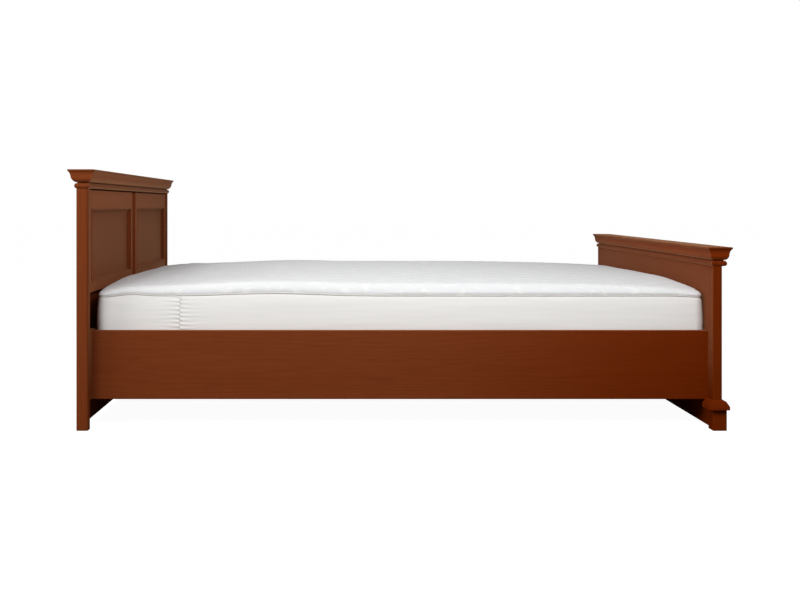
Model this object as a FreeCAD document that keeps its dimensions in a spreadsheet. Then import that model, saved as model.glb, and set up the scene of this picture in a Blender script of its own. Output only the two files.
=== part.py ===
import FreeCAD, Part
import Sketcher
import math
import os

# A double panel bed for a 1600 x 2000 mattress. +X runs from the head to the foot,
# -Y is the left side as seen from the foot, +Z is up, and the floor is Z = 0.
# The origin is on the floor under the middle of the bounding box.

DRIVING_SIZES = [
    # overall
    ("inner_length", 2010, "headboard's front face to footboard's inner face"),
    ("outer_width", 1765, "over the outer faces of the posts"),
    ("head_height", 841, "floor to the top of the headboard's cap"),
    ("foot_height", 591, "floor to the top of the footboard's cap"),
    # posts and top rails
    ("head_thick", 38, "headboard post, front to back"),
    ("foot_thick", 30, "footboard post, front to back"),
    ("post_width", 36, "post, across the bed"),
    ("post_round", 7, "rounding of the post edges that show"),
    ("post_ease", 3, "rounding of the other post edges"),
    ("top_rail_thick", 38, "top rail under the crown, front to back"),
    # cap, crown, neck and bead
    ("cap_thick", 6.5, "thin cap on top of the crown"),
    ("cap_top_round", 2, "upper rounding of the cap's lip"),
    ("cap_under_round", 2.5, "lower rounding of the cap's lip"),
    ("head_cap_reach", 24, "headboard cap past its core"),
    ("foot_cap_reach", 20, "footboard cap past its core"),
    ("crown_tall", 34.5, "ogee crown strip, height"),
    ("crown_step", 2.5, "cap's lip past the crown strip"),
    ("crown_foot_out", 2, "ogee's foot past the top rail"),
    ("crown_shoulder_in", 6.2, "ogee's turning point, in from the strip's top edge"),
    ("crown_shoulder_up", 18.6, "ogee's turning point, above the strip's foot"),
    ("crown_belly", 3, "bulge of the lower, rounded half of the ogee"),
    ("crown_hollow", 1.2, "depth of the upper, hollow half of the ogee"),
    ("neck_tall", 3, "groove between crown and bead, height"),
    ("neck_depth", 2, "that groove's depth in the top rail"),
    ("bead_tall", 17, "half-round bead, height"),
    ("bead_reach", 5.5, "half-round bead past its core"),
    # framed panels
    ("head_frame_thick", 20, "headboard frame, front to back"),
    ("frame_setback", 5, "headboard's frames behind the faces of its posts"),
    ("foot_board_thick", 12, "plain inner board of the footboard"),
    ("centre_gap", 66, "recessed gap between a board's two frames"),
    ("frame_reveal", 6, "recessed gap between a frame and the post beside it"),
    ("head_frame_bottom", 440, "floor to the headboard frames"),
    ("foot_frame_lift", 6, "footboard frames above the plinth moulding"),
    ("frame_top_gap", 4, "shadow gap under the bead"),
    ("stile_width", 33, "frame stile"),
    ("low_rail_width", 30, "lower rail of a frame"),
    ("top_rail_width", 60, "upper rail of a frame"),
    ("frame_round", 4, "rounding of a frame's outer edges"),
    ("sunk_panel_thick", 6, "sunk panel inside a frame"),
    ("moulding_width", 14, "sloped moulding round a sunk panel"),
    ("moulding_toe", 2, "its upright toe on the sunk panel"),
    ("moulding_lip", 5, "the half-round bead at its frame edge, width"),
    ("moulding_bead", 1.5, "how far that bead stands proud of the frame"),
    ("moulding_hollow", 2, "depth of its hollow"),
    ("head_board_bottom", 12.5, "floor to the headboard's back board"),
    # plinth of the footboard
    ("plinth_block_tall", 69, "plinth block, height"),
    ("plinth_block_wide", 52, "plinth block, across the bed"),
    ("plinth_reach", 14.5, "plinth past the footboard's outer face"),
    ("plinth_board_bottom", 8.5, "floor to the board between the blocks"),
    ("plinth_board_back", 4, "that board behind the blocks' outer face"),
    ("plinth_mould_tall", 32, "plinth moulding, height"),
    ("plinth_mould_reach", 19, "plinth moulding past the posts"),
    ("plinth_mould_edge", 11, "its upright lower edge"),
    ("plinth_mould_break_in", 10, "where its slope flattens, from the post"),
    ("plinth_mould_break_up", 26, "where its slope flattens, above its foot"),
    ("plinth_ease", 2, "rounding of the plinth blocks' upright edges"),
    # side rails and the slatted base
    ("rail_setback", 56, "post's outer face to the rail's outer face"),
    ("rail_thick", 24, "side rail"),
    ("rail_bottom", 93, "floor to the side rails"),
    ("rail_tall", 224, "side rail, height"),
    ("rail_round", 3, "rounding of the rail's long outer edges"),
    ("ledge_wide", 30, "ledge strip, across the bed"),
    ("ledge_tall", 30, "ledge strip, height"),
    ("rail_block_wide", 110, "block behind a rail's end in the headboard"),
    ("slat_wide", 70, "slat, along the bed"),
    ("slat_thick", 20, "slat"),
    ("slat_count", 14, "slats"),
    ("slat_end_gap", 15, "first and last slat from the boards"),
    ("slat_side_gap", 2.5, "slat's end to the side rail"),
    ("slat_ease", 3, "rounding of a slat's long upper edges"),
    ("slat_top", 255, "floor to the top of the slats"),
    ("beam_wide", 45, "centre beam, across the bed"),
    ("beam_tall", 80, "centre beam, height"),
    ("leg_side", 50, "centre leg, square"),
    ("leg_spacing", 700, "between the two centre legs"),
    ("leg_foot_radius", 22, "levelling foot's disc"),
    ("leg_foot_thick", 8, "levelling foot's disc"),
    ("stud_radius", 5, "levelling foot's threaded stud"),
    ("stud_length", 34, "stud above the disc"),
    ("stud_show", 4, "length of stud left showing"),
    ("stud_clearance", 0.1, "stud to its hole in the leg"),
    ("stud_hole_spare", 3, "hole past the end of the stud"),
    # steel angles and screws
    ("angle_leg", 60, "corner angle, each leg"),
    ("angle_tall", 80, "corner angle, height"),
    ("angle_thick", 3, "steel of angles and hangers"),
    ("angle_drop", 10, "corner angle below the ledge strip"),
    ("angle_hole_out", 38, "corner angle's holes from its bend"),
    ("angle_hole_inset", 20, "corner angle's holes from its ends"),
    ("hanger_wide", 60, "beam hanger, across the bed"),
    ("hanger_shelf", 60, "beam hanger's shelf, along the bed"),
    ("hanger_drop", 50, "beam hanger's plate below the beam"),
    ("hanger_hole_side", 15, "hanger's plate holes from its middle"),
    ("hanger_hole_drop", 30, "hanger's plate holes below the beam"),
    ("hanger_hole_out", 40, "hanger's shelf hole from the board"),
    ("screw_head_radius", 5, "screw head"),
    ("screw_head_tall", 3, "screw head"),
    ("screw_radius", 2.5, "screw shank"),
    ("screw_length", 12, "screw shank"),
    ("screw_clearance", 0.1, "shank to the hole it passes"),
    ("screw_hole_spare", 1, "pilot hole past the screw's point"),
    # mattress
    ("mattress_head_gap", 9, "headboard to the mattress"),
    ("mattress_foot_gap", 1, "mattress to the footboard"),
    ("mattress_side_gap", 2.5, "mattress to each side rail"),
    ("mattress_border", 176, "bottom face to the upper piping"),
    ("mattress_crown", 62, "crown above the upper piping"),
    ("mattress_shoulder_in", 70, "rounded shoulder of the crown, in plan"),
    ("mattress_shoulder_up", 30, "rounded shoulder of the crown, height"),
    ("mattress_corner", 30, "corner radius in plan"),
    ("mattress_float", 0.3, "clearance over the slats"),
    ("piping_reach", 4, "piping past the border"),
    ("piping_tall", 9, "piping ridge"),
    ("border_bulge", 3, "border's bulge between its pipings"),
    ("mattress_under_round", 12, "rounding under the lower piping"),
]

doc = FreeCAD.newDocument("panel_bed")
sheet = doc.addObject("Spreadsheet::Sheet", "Sizes")
for row, (alias, number, note) in enumerate(DRIVING_SIZES, start=1):
    sheet.set("A%d" % row, note)
    sheet.set("B%d" % row, str(number))
    sheet.setAlias("B%d" % row, alias)
doc.recompute()


class Size:
    """A size with its value now and the formula that keeps it tied to the sheet."""

    def __init__(self, value, formula):
        self.value = float(value)
        self.formula = formula

    def __add__(self, other):
        other = as_size(other)
        return Size(self.value + other.value, "(%s + %s)" % (self.formula, other.formula))

    def __sub__(self, other):
        other = as_size(other)
        return Size(self.value - other.value, "(%s - %s)" % (self.formula, other.formula))

    def __mul__(self, other):
        other = as_size(other)
        return Size(self.value * other.value, "(%s * %s)" % (self.formula, other.formula))

    def __truediv__(self, other):
        other = as_size(other)
        return Size(self.value / other.value, "(%s / %s)" % (self.formula, other.formula))

    def __neg__(self):
        return as_size(0) - self

    def __radd__(self, other):
        return as_size(other) + self

    def __rsub__(self, other):
        return as_size(other) - self

    def __rmul__(self, other):
        return as_size(other) * self


def as_size(number):
    """A plain number as a Size; a Size stays as it is."""
    if isinstance(number, Size):
        return number
    return Size(number, repr(number))


class Sizes:
    """One attribute for each cell of the sheet."""


s = Sizes()
for alias, number, note in DRIVING_SIZES:
    setattr(s, alias, Size(number, "Sizes." + alias))


def tie(thing, prop, size):
    """Ties a property to the formula of a size."""
    thing.setExpression(prop, as_size(size).formula)


def place(thing, corner, run=None, out=None):
    """Puts a thing's own origin at corner, with its X along run and its Y along out."""
    turn = FreeCAD.Rotation()
    if run is not None:
        turn = FreeCAD.Rotation(run, out, run.cross(out), "XYZ")
    base = FreeCAD.Vector(*[as_size(part).value for part in corner])
    thing.Placement = FreeCAD.Placement(base, turn)
    for letter, part in zip("xyz", corner):
        tie(thing, "Placement.Base." + letter, part)


nodes = []


def node(thing):
    """Counts a thing as one of the bed's named pieces."""
    nodes.append(thing)
    return thing


def group(label, pieces):
    """Several separate pieces of one kind that share a name."""
    compound = doc.addObject("Part::Compound", label)
    compound.Label = label
    compound.Links = pieces
    return node(compound)


# ---------------------------------------------------------------- directions and corners

PLUS_X = FreeCAD.Vector(1, 0, 0)
PLUS_Y = FreeCAD.Vector(0, 1, 0)
PLUS_Z = FreeCAD.Vector(0, 0, 1)
LOW, HIGH = -1, 1
TOUCH = 1e-4


def corner_edges(shape, axis, corners):
    """Names of the edges along axis at the given corners of the shape's box."""
    box = shape.BoundBox
    lows = (box.XMin, box.YMin, box.ZMin)
    highs = (box.XMax, box.YMax, box.ZMax)
    across = [n for n in range(3) if n != axis]
    names = []
    for number, edge in enumerate(shape.Edges, start=1):
        ends = [vertex.Point for vertex in edge.Vertexes]
        for corner in corners:
            hits = 0
            for n, side in zip(across, corner):
                wanted = highs[n] if side == HIGH else lows[n]
                hits += all(abs(end[n] - wanted) < TOUCH for end in ends)
            if hits == 2:
                names.append("Edge%d" % number)
    return names


def round_edges(body, axis, corners, radius):
    """Rounds the body's corner edges that run along axis (0, 1 or 2)."""
    doc.recompute()
    base = body.Tip
    fillet = body.newObject("PartDesign::Fillet", "Round")
    fillet.Base = (base, corner_edges(base.Shape, axis, corners))
    tie(fillet, "Radius", radius)
    body.Tip = fillet


def board(label, low, high, rounds=()):
    """A straight board between two corners, with some of its long edges rounded."""
    body = doc.addObject("PartDesign::Body", label)
    body.Label = label
    stock = body.newObject("PartDesign::AdditiveBox", "Stock")
    for prop, near, far in zip(("Length", "Width", "Height"), low, high):
        tie(stock, prop, as_size(far) - near)
    place(body, low)
    for axis, corners, radius in rounds:
        round_edges(body, axis, corners, radius)
    return body


def arc_radius(start, end, rise):
    """Radius of the arc over the chord from start to end that rises by rise."""
    chord_x = as_size(end[0]) - start[0]
    chord_y = as_size(end[1]) - start[1]
    chord_squared = chord_x * chord_x + chord_y * chord_y
    return (chord_squared / 4 + rise * rise) / (2 * rise)


def draw_loop(sketch, corners):
    """Draws a closed loop of lines and arcs, with every corner tied to the sheet.

    Each corner is (across, up, rise). rise is None for a straight side to the next
    corner. Otherwise the side is an arc that rises by that size, to the right of the
    way the loop runs where it is positive and to the left where it is negative.
    """
    first = sketch.GeometryCount
    count = len(corners)
    starts, ends = [], []
    for n, (across, up, rise) in enumerate(corners):
        after = corners[(n + 1) % count]
        here = FreeCAD.Vector(as_size(across).value, as_size(up).value, 0)
        there = FreeCAD.Vector(as_size(after[0]).value, as_size(after[1]).value, 0)
        if rise is None:
            sketch.addGeometry(Part.LineSegment(here, there), False)
            starts.append((first + n, 1))
            ends.append((first + n, 2))
            continue
        along = (there - here).normalize()
        aside = FreeCAD.Vector(along.y, -along.x, 0)
        middle = (here + there) * 0.5 + aside * rise.value
        turns_left = rise.value > 0
        if turns_left:
            sketch.addGeometry(Part.Arc(here, middle, there), False)
        else:
            sketch.addGeometry(Part.Arc(there, middle, here), False)
        starts.append((first + n, 1 if turns_left else 2))
        ends.append((first + n, 2 if turns_left else 1))
        size = arc_radius((across, up), after, rise if turns_left else -rise)
        radius = sketch.addConstraint(Sketcher.Constraint("Radius", first + n, size.value))
        tie(sketch, "Constraints[%d]" % radius, size)
    for n, (across, up, rise) in enumerate(corners):
        sketch.addConstraint(Sketcher.Constraint("Coincident", *ends[n - 1], *starts[n]))
        for kind, size in (("DistanceX", across), ("DistanceY", up)):
            size = as_size(size)
            limit = Sketcher.Constraint(kind, -1, 1, *starts[n], size.value)
            tie(sketch, "Constraints[%d]" % sketch.addConstraint(limit), size)


def sketch_on(body, role, loops):
    """A sketch on one of the body's own origin planes, with its loops drawn."""
    sketch = body.newObject("Sketcher::SketchObject", "Outline")
    plane = [item for item in body.Origin.OriginFeatures if item.Role == role][0]
    sketch.AttachmentSupport = [(plane, "")]
    sketch.MapMode = "FlatFace"
    for loop in loops:
        draw_loop(sketch, loop)
    return sketch


def strip(label, profile, reach, tall, run, outside, corner, run_way, out_way):
    """A mitred length of moulding.

    It runs along its own X, with its back at Y = 0 and its foot at Z = 0. run is its
    length along the wall. Outside corners make it longer at its front edge than at
    its back, and inside corners shorter.
    """
    body = doc.addObject("PartDesign::Body", label)
    body.Label = label
    full = as_size(run) + 2 * reach if outside else as_size(run)
    pad = body.newObject("PartDesign::Pad", "Length")
    pad.Profile = sketch_on(body, "YZ_Plane", [profile])
    tie(pad, "Length", full)
    doc.recompute()
    uncut = body.Shape.Volume
    if outside:
        near_end = [(0, 0, None), (reach, 0, None), (0, reach, None)]
        far_end = [(full, 0, None), (full, reach, None), (full - reach, 0, None)]
    else:
        near_end = [(0, 0, None), (reach, reach, None), (0, reach, None)]
        far_end = [(full, 0, None), (full, reach, None), (full - reach, reach, None)]
    mitre = body.newObject("PartDesign::Pocket", "Mitre")
    mitre.Profile = sketch_on(body, "XY_Plane", [near_end, far_end])
    mitre.Reversed = True
    tie(mitre, "Length", tall)
    body.Tip = mitre
    place(body, corner, run_way, out_way)
    doc.recompute()
    if body.Shape.Volume > uncut - TOUCH:
        raise RuntimeError(label + ": the mitre cuts nothing")
    return body


def ring(label, profile, reach, tall, low, high, bottom, names):
    """Four strips round the outside of an upright core, mitred at its corners.

    low and high are the core's corners in plan. names are those of the sides that
    face +X, -X, -Y and +Y.
    """
    (x0, y0), (x1, y1) = low, high
    sides = (
        (y1 - y0, (x1, y1 + reach, bottom), -PLUS_Y, PLUS_X),
        (y1 - y0, (x0, y0 - reach, bottom), PLUS_Y, -PLUS_X),
        (x1 - x0, (x1 + reach, y0, bottom), -PLUS_X, -PLUS_Y),
        (x1 - x0, (x0 - reach, y1, bottom), PLUS_X, PLUS_Y),
    )
    strips = []
    for name, (run, corner, run_way, out_way) in zip(names, sides):
        piece = strip(label + name, profile, reach, tall, run, True, corner, run_way, out_way)
        strips.append(piece)
    return strips


def window_ring(label, profile, reach, tall, face, low, high):
    """Four strips inside an upright window that faces +X, mitred into its corners."""
    (y0, z0), (y1, z1) = low, high
    sides = (
        (y1 - y0, (face, y0, z0), PLUS_Y, PLUS_Z),
        (y1 - y0, (face, y1, z1), -PLUS_Y, -PLUS_Z),
        (z1 - z0, (face, y0, z1), -PLUS_Z, PLUS_Y),
        (z1 - z0, (face, y1, z0), PLUS_Z, -PLUS_Y),
    )
    strips = []
    for name, (run, corner, run_way, out_way) in zip(("low", "top", "left", "right"), sides):
        strips.append(strip("%s_%s" % (label, name), profile, reach, tall, run, False,
                            corner, run_way, out_way))
    return strips


# ---------------------------------------------------------------- where things are

foot_overhang = s.top_rail_thick - s.foot_thick
total_length = (s.head_cap_reach + s.head_thick + s.inner_length
                + s.foot_thick + foot_overhang + s.foot_cap_reach)
head_back = s.head_cap_reach - total_length / 2
head_front = head_back + s.head_thick
head_frame_face = head_front - s.frame_setback
head_recess = head_frame_face - s.head_frame_thick
foot_inner = head_front + s.inner_length
foot_outer = foot_inner + s.foot_thick
foot_face = foot_inner + s.foot_board_thick

half_width = s.outer_width / 2
post_inner = half_width - s.post_width
gap_side = s.centre_gap / 2
frame_side = post_inner - s.frame_reveal

plinth_top = s.plinth_block_tall + s.plinth_mould_tall
rail_top = s.rail_bottom + s.rail_tall
rail_outer = half_width - s.rail_setback
rail_inner = rail_outer - s.rail_thick
slat_bottom = s.slat_top - s.slat_thick
ledge_bottom = slat_bottom - s.ledge_tall
beam_bottom = slat_bottom - s.beam_tall
crown_stack = s.cap_thick + s.crown_tall + s.neck_tall + s.bead_tall


# ---------------------------------------------------------------- profiles of the mouldings

def crown_profile(reach):
    """Ogee: rounded below, hollow above, with a flat top under the cap."""
    shoulder = (reach - s.crown_shoulder_in, s.crown_shoulder_up)
    return [
        (0, 0, None),
        (s.crown_foot_out, 0, s.crown_belly),
        (shoulder[0], shoulder[1], -s.crown_hollow),
        (reach, s.crown_tall, None),
        (0, s.crown_tall, None),
    ]


def bead_profile():
    """A shallow half-round."""
    return [(0, 0, s.bead_reach), (0, s.bead_tall, None)]


def moulding_profile(deep):
    """A sloped, slightly hollow moulding with a toe and a bead."""
    return [
        (0, 0, None),
        (s.moulding_width, 0, None),
        (s.moulding_width, s.moulding_toe, -s.moulding_hollow),
        (s.moulding_lip, deep, s.moulding_bead),
        (0, deep, None),
    ]


def plinth_profile():
    """An upright edge, a slope and a flatter top."""
    return [
        (0, 0, None),
        (s.plinth_mould_reach, 0, None),
        (s.plinth_mould_reach, s.plinth_mould_edge, None),
        (s.plinth_mould_break_in, s.plinth_mould_break_up, None),
        (0, s.plinth_mould_tall, None),
    ]


# ---------------------------------------------------------------- top of each board

ALL_CORNERS = [(LOW, LOW), (LOW, HIGH), (HIGH, LOW), (HIGH, HIGH)]
UPPER_CORNERS = [(LOW, HIGH), (HIGH, HIGH)]
LOWER_CORNERS = [(LOW, LOW), (HIGH, LOW)]


def grooved_rail(label, corner, long, wide):
    """The top rail, with the neck cut into it all round as a groove."""
    body = doc.addObject("PartDesign::Body", label)
    body.Label = label
    over_neck = s.bead_tall + s.neck_tall
    for inset, foot, tall in ((0, 0, s.bead_tall),
                              (s.neck_depth, s.bead_tall, s.neck_tall),
                              (0, over_neck, s.crown_tall)):
        step = body.newObject("PartDesign::AdditiveBox", "Step")
        tie(step, "Length", long - 2 * inset)
        tie(step, "Width", wide - 2 * inset)
        tie(step, "Height", tall)
        place(step, (inset, inset, foot))
    place(body, corner)
    return body


def crowned_top(prefix, x0, reach, height, plus_side, minus_side):
    """Top rail, bead, crown and cap of the headboard or the footboard."""
    x1 = x0 + s.top_rail_thick
    core = ((x0, -half_width), (x1, half_width))
    cap_bottom = height - s.cap_thick
    crown_bottom = cap_bottom - s.crown_tall
    bead_bottom = height - crown_stack
    node(grooved_rail(prefix + "_top_rail", (x0, -half_width, bead_bottom),
                      s.top_rail_thick, s.outer_width))
    node(board(prefix + "_cap",
               (x0 - reach, -half_width - reach, cap_bottom),
               (x1 + reach, half_width + reach, height),
               [(1, UPPER_CORNERS, s.cap_top_round), (1, LOWER_CORNERS, s.cap_under_round)]))
    crown_reach = reach - s.crown_step
    crown = ring(prefix + "_crown", crown_profile(crown_reach), crown_reach, s.crown_tall,
                 core[0], core[1], crown_bottom, (plus_side, minus_side, "_left", "_right"))
    node(crown[0])
    node(crown[1])
    group(prefix + "_crown_ends", crown[2:])
    bead = ring(prefix + "_bead", bead_profile(), s.bead_reach, s.bead_tall,
                core[0], core[1], bead_bottom, (plus_side, minus_side, "_left", "_right"))
    group(prefix + "_bead", bead)


crowned_top("head", head_back, s.head_cap_reach, s.head_height, "_front", "_back")
crowned_top("foot", foot_inner, s.foot_cap_reach, s.foot_height, "_outer", "_inner")

head_post_top = s.head_height - crown_stack
foot_post_top = s.foot_height - crown_stack


# ---------------------------------------------------------------- posts and boards

def post(label, x0, x1, left, bottom, top):
    """A post whose edges on its +X side are well rounded and the others eased."""
    y0 = -half_width if left else post_inner
    return node(board(label, (x0, y0, bottom), (x1, y0 + s.post_width, top),
                      [(2, [(HIGH, LOW), (HIGH, HIGH)], s.post_round),
                       (2, [(LOW, LOW), (LOW, HIGH)], s.post_ease)]))


for side in ("left", "right"):
    is_left = side == "left"
    post("head_post_" + side, head_back, head_front, is_left, 0, head_post_top)
    post("foot_post_" + side, foot_inner, foot_outer, is_left, s.plinth_block_tall, foot_post_top)


# ---------------------------------------------------------------- framed panels

def frame_members(prefix, side, x0, x1, bottom, top):
    """The four members of one frame, and the corners of its window."""
    y0 = -frame_side if side == "left" else gap_side
    y1 = -gap_side if side == "left" else frame_side
    window_y = (y0 + s.stile_width, y1 - s.stile_width)
    window_z = (bottom + s.low_rail_width, top - s.top_rail_width)
    low_edge = [(1, [(HIGH, LOW)], s.frame_round)]
    top_edge = [(1, [(HIGH, HIGH)], s.frame_round)]
    left_edge = [(2, [(HIGH, LOW)], s.frame_round)]
    right_edge = [(2, [(HIGH, HIGH)], s.frame_round)]
    members = [
        ("stile_%s_a", (x0, y0, bottom), (x1, window_y[0], top), left_edge),
        ("stile_%s_b", (x0, window_y[1], bottom), (x1, y1, top), right_edge),
        ("low_rail_%s", (x0, window_y[0], bottom), (x1, window_y[1], window_z[0]), low_edge),
        ("high_rail_%s", (x0, window_y[0], window_z[1]), (x1, window_y[1], top), top_edge),
    ]
    boards = []
    for name, low, high, rounds in members:
        boards.append(board(prefix + "_" + name % side, low, high, rounds))
    return boards, window_y, window_z


def sunk_panel(prefix, side, x0, thick, window_y, window_z):
    """The sunk panel in a frame's window, and the mouldings round it."""
    face = x0 + s.sunk_panel_thick
    node(board("%s_panel_%s" % (prefix, side),
               (x0, window_y[0], window_z[0]), (face, window_y[1], window_z[1])))
    deep = thick - s.sunk_panel_thick
    group("%s_moulding_%s" % (prefix, side),
          window_ring("%s_moulding_%s" % (prefix, side), moulding_profile(deep),
                      s.moulding_width, deep + s.moulding_bead, face,
                      (window_y[0], window_z[0]), (window_y[1], window_z[1])))


head_frame_top = head_post_top - s.frame_top_gap
foot_frame_top = foot_post_top - s.frame_top_gap
foot_frame_thick = s.foot_thick - s.foot_board_thick
for side in ("left", "right"):
    members, window_y, window_z = frame_members("head", side, head_recess, head_frame_face,
                                                s.head_frame_bottom, head_frame_top)
    for member in members:
        node(member)
    sunk_panel("head", side, head_recess, s.head_frame_thick, window_y, window_z)
    members, window_y, window_z = frame_members("foot", side, foot_face, foot_outer,
                                                plinth_top + s.foot_frame_lift, foot_frame_top)
    group("foot_frame_" + side, members)
    sunk_panel("foot", side, foot_face, foot_frame_thick, window_y, window_z)


# ---------------------------------------------------------------- plinth of the footboard

plinth_outer = foot_outer + s.plinth_reach
block_inner = half_width - s.plinth_block_wide
for side in ("left", "right"):
    y0 = -half_width if side == "left" else block_inner
    node(board("plinth_block_" + side, (foot_inner, y0, 0),
               (plinth_outer, y0 + s.plinth_block_wide, s.plinth_block_tall),
               [(2, ALL_CORNERS, s.plinth_ease)]))
node(board("plinth_board", (foot_inner, -block_inner, s.plinth_board_bottom),
           (plinth_outer - s.plinth_board_back, block_inner, s.plinth_block_tall)))
strips = ring("plinth_moulding", plinth_profile(), s.plinth_mould_reach, s.plinth_mould_tall,
              (foot_inner, -half_width), (foot_outer, half_width), s.plinth_block_tall,
              ("_outer", "_inner", "_left", "_right"))
between_rails = doc.addObject("Part::Box", "between_rails")
tie(between_rails, "Length", s.plinth_mould_reach)
tie(between_rails, "Width", 2 * rail_outer)
tie(between_rails, "Height", s.plinth_mould_tall)
place(between_rails, (foot_inner - s.plinth_mould_reach, -rail_outer, s.plinth_block_tall))
returns = doc.addObject("Part::Cut", "plinth_moulding_returns")
returns.Base = strips[1]
returns.Tool = between_rails
group("plinth_moulding", [strips[0], returns, strips[2], strips[3]])


# ---------------------------------------------------------------- screws and their holes

screws = []


def at_right_angles(way):
    """An upright direction for a level way, and PLUS_X for an upright one."""
    return PLUS_Z if way.z == 0 else PLUS_X


def screw(point, way):
    """A round-headed screw with its head's underside at point, pointing against way."""
    body = doc.addObject("PartDesign::Body", "screw_%02d" % (len(screws) + 1))
    body.Label = body.Name
    head = body.newObject("PartDesign::AdditiveCylinder", "Head")
    tie(head, "Radius", s.screw_head_radius)
    tie(head, "Height", s.screw_head_tall)
    shank = body.newObject("PartDesign::AdditiveCylinder", "Shank")
    tie(shank, "Radius", s.screw_radius)
    tie(shank, "Height", s.screw_length)
    tie(shank, "Placement.Base.z", -s.screw_length)
    aside = at_right_angles(way)
    place(body, point, aside, way.cross(aside))
    screws.append(body)


def drilled(blank, points, way):
    """The blank with a pilot hole for each screw that is driven against way."""
    label = blank.Label
    blank.Label = label + "_blank"
    holes = []
    for point in points:
        hole = doc.addObject("Part::Cylinder", "pilot")
        tie(hole, "Radius", s.screw_radius + s.screw_clearance)
        tie(hole, "Height", s.screw_length - s.angle_thick + s.screw_hole_spare)
        aside = at_right_angles(way)
        place(hole, point, aside, (-way).cross(aside))
        holes.append(hole)
    tool = doc.addObject("Part::Compound", "pilots")
    tool.Links = holes
    cut = doc.addObject("Part::Cut", label)
    cut.Label = label
    cut.Base = blank
    cut.Tool = tool
    doc.recompute()
    if cut.Shape.Volume > blank.Shape.Volume - TOUCH:
        raise RuntimeError(label + ": the pilot holes cut nothing")
    return cut


def bore(body, point, way, radius, length):
    """A round hole in a body, from point along way, in the body's own axes."""
    hole = body.newObject("PartDesign::SubtractiveCylinder", "Bore")
    tie(hole, "Radius", radius)
    tie(hole, "Height", length)
    aside = at_right_angles(way)
    place(hole, point, aside, way.cross(aside))
    body.Tip = hole


def stepped(start, moves):
    """start moved by each (size, direction) in turn."""
    point = [as_size(part) for part in start]
    for size, way in moves:
        for n in range(3):
            if way[n]:
                point[n] = point[n] + size * int(way[n])
    return tuple(point)


# ---------------------------------------------------------------- corner angles

shank_hole = s.screw_radius + s.screw_clearance
angle_top = ledge_bottom - s.angle_drop
angle_bottom = angle_top - s.angle_tall
angle_hole_heights = (s.angle_hole_inset, s.angle_tall - s.angle_hole_inset)


def corner_angle(label, x, y, along, inward):
    """A steel angle with one leg on the rail and one on the board.

    It returns the points where its screws stand, on the rail and on the board.
    """
    body = doc.addObject("PartDesign::Body", label)
    body.Label = label
    for length, width in ((s.angle_leg, s.angle_thick), (s.angle_thick, s.angle_leg)):
        leg = body.newObject("PartDesign::AdditiveBox", "Leg")
        tie(leg, "Length", length)
        tie(leg, "Width", width)
        tie(leg, "Height", s.angle_tall)
    for up in angle_hole_heights:
        bore(body, (s.angle_hole_out, 0, up), PLUS_Y, shank_hole, s.angle_thick)
        bore(body, (0, s.angle_hole_out, up), PLUS_X, shank_hole, s.angle_thick)
    lefthanded = along.cross(inward).z < 0
    first, second = (inward, along) if lefthanded else (along, inward)
    place(body, (x, y, angle_bottom), first, second)
    node(body)
    start = (x, y, angle_bottom)
    rail_points, board_points = [], []
    for up in angle_hole_heights:
        rail_points.append(stepped(start, [(s.angle_hole_out, along), (up, PLUS_Z)]))
        board_points.append(stepped(start, [(s.angle_hole_out, inward), (up, PLUS_Z)]))
    for point in rail_points:
        screw(stepped(point, [(s.angle_thick, inward)]), inward)
    for point in board_points:
        screw(stepped(point, [(s.angle_thick, along)]), along)
    return rail_points, board_points


rail_holes = {}
board_holes = {}
for side, inward in (("left", PLUS_Y), ("right", -PLUS_Y)):
    y = -rail_inner if side == "left" else rail_inner
    for end, x, along in (("head", head_front, PLUS_X), ("foot", foot_inner, -PLUS_X)):
        holes = corner_angle("rail_bracket_%s_%s" % (end, side), x, y, along, inward)
        rail_holes[side] = rail_holes.get(side, []) + holes[0]
        board_holes[end, side] = holes[1]


# ---------------------------------------------------------------- beam hangers

def beam_hanger(label, x, along):
    """A steel shelf under the beam's end, on a plate screwed to the board."""
    body = doc.addObject("PartDesign::Body", label)
    body.Label = label
    shelf = body.newObject("PartDesign::AdditiveBox", "Shelf")
    tie(shelf, "Length", s.hanger_shelf)
    tie(shelf, "Width", s.hanger_wide)
    tie(shelf, "Height", s.angle_thick)
    plate = body.newObject("PartDesign::AdditiveBox", "Plate")
    tie(plate, "Length", s.angle_thick)
    tie(plate, "Width", s.hanger_wide)
    tie(plate, "Height", s.hanger_drop)
    middle = s.hanger_wide / 2
    place(plate, (0, 0, s.angle_thick - s.hanger_drop))
    hole_up = s.angle_thick - s.hanger_hole_drop
    for across in (middle - s.hanger_hole_side, middle + s.hanger_hole_side):
        bore(body, (0, across, hole_up), PLUS_X, shank_hole, s.angle_thick)
    bore(body, (s.hanger_hole_out, middle, 0), PLUS_Z, shank_hole, s.angle_thick)
    sideways = PLUS_Z.cross(along)
    start = stepped((x, 0, beam_bottom - s.angle_thick), [(-middle, sideways)])
    place(body, start, along, sideways)
    node(body)
    board_points = []
    for across in (-s.hanger_hole_side, s.hanger_hole_side):
        point = (x, across, beam_bottom - s.hanger_hole_drop)
        board_points.append(point)
        screw(stepped(point, [(s.angle_thick, along)]), along)
    beam_point = stepped((x, 0, beam_bottom), [(s.hanger_hole_out, along)])
    screw(stepped(beam_point, [(-s.angle_thick, PLUS_Z)]), -PLUS_Z)
    return board_points, beam_point


head_hanger_holes, head_beam_hole = beam_hanger("beam_hanger_head", head_recess, PLUS_X)
foot_hanger_holes, foot_beam_hole = beam_hanger("beam_hanger_foot", foot_inner, -PLUS_X)


# ---------------------------------------------------------------- the drilled boards

back_board = board("head_back_board", (head_back, -post_inner, s.head_board_bottom),
                   (head_recess, post_inner, head_post_top))
node(drilled(back_board, head_hanger_holes, PLUS_X))

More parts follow.
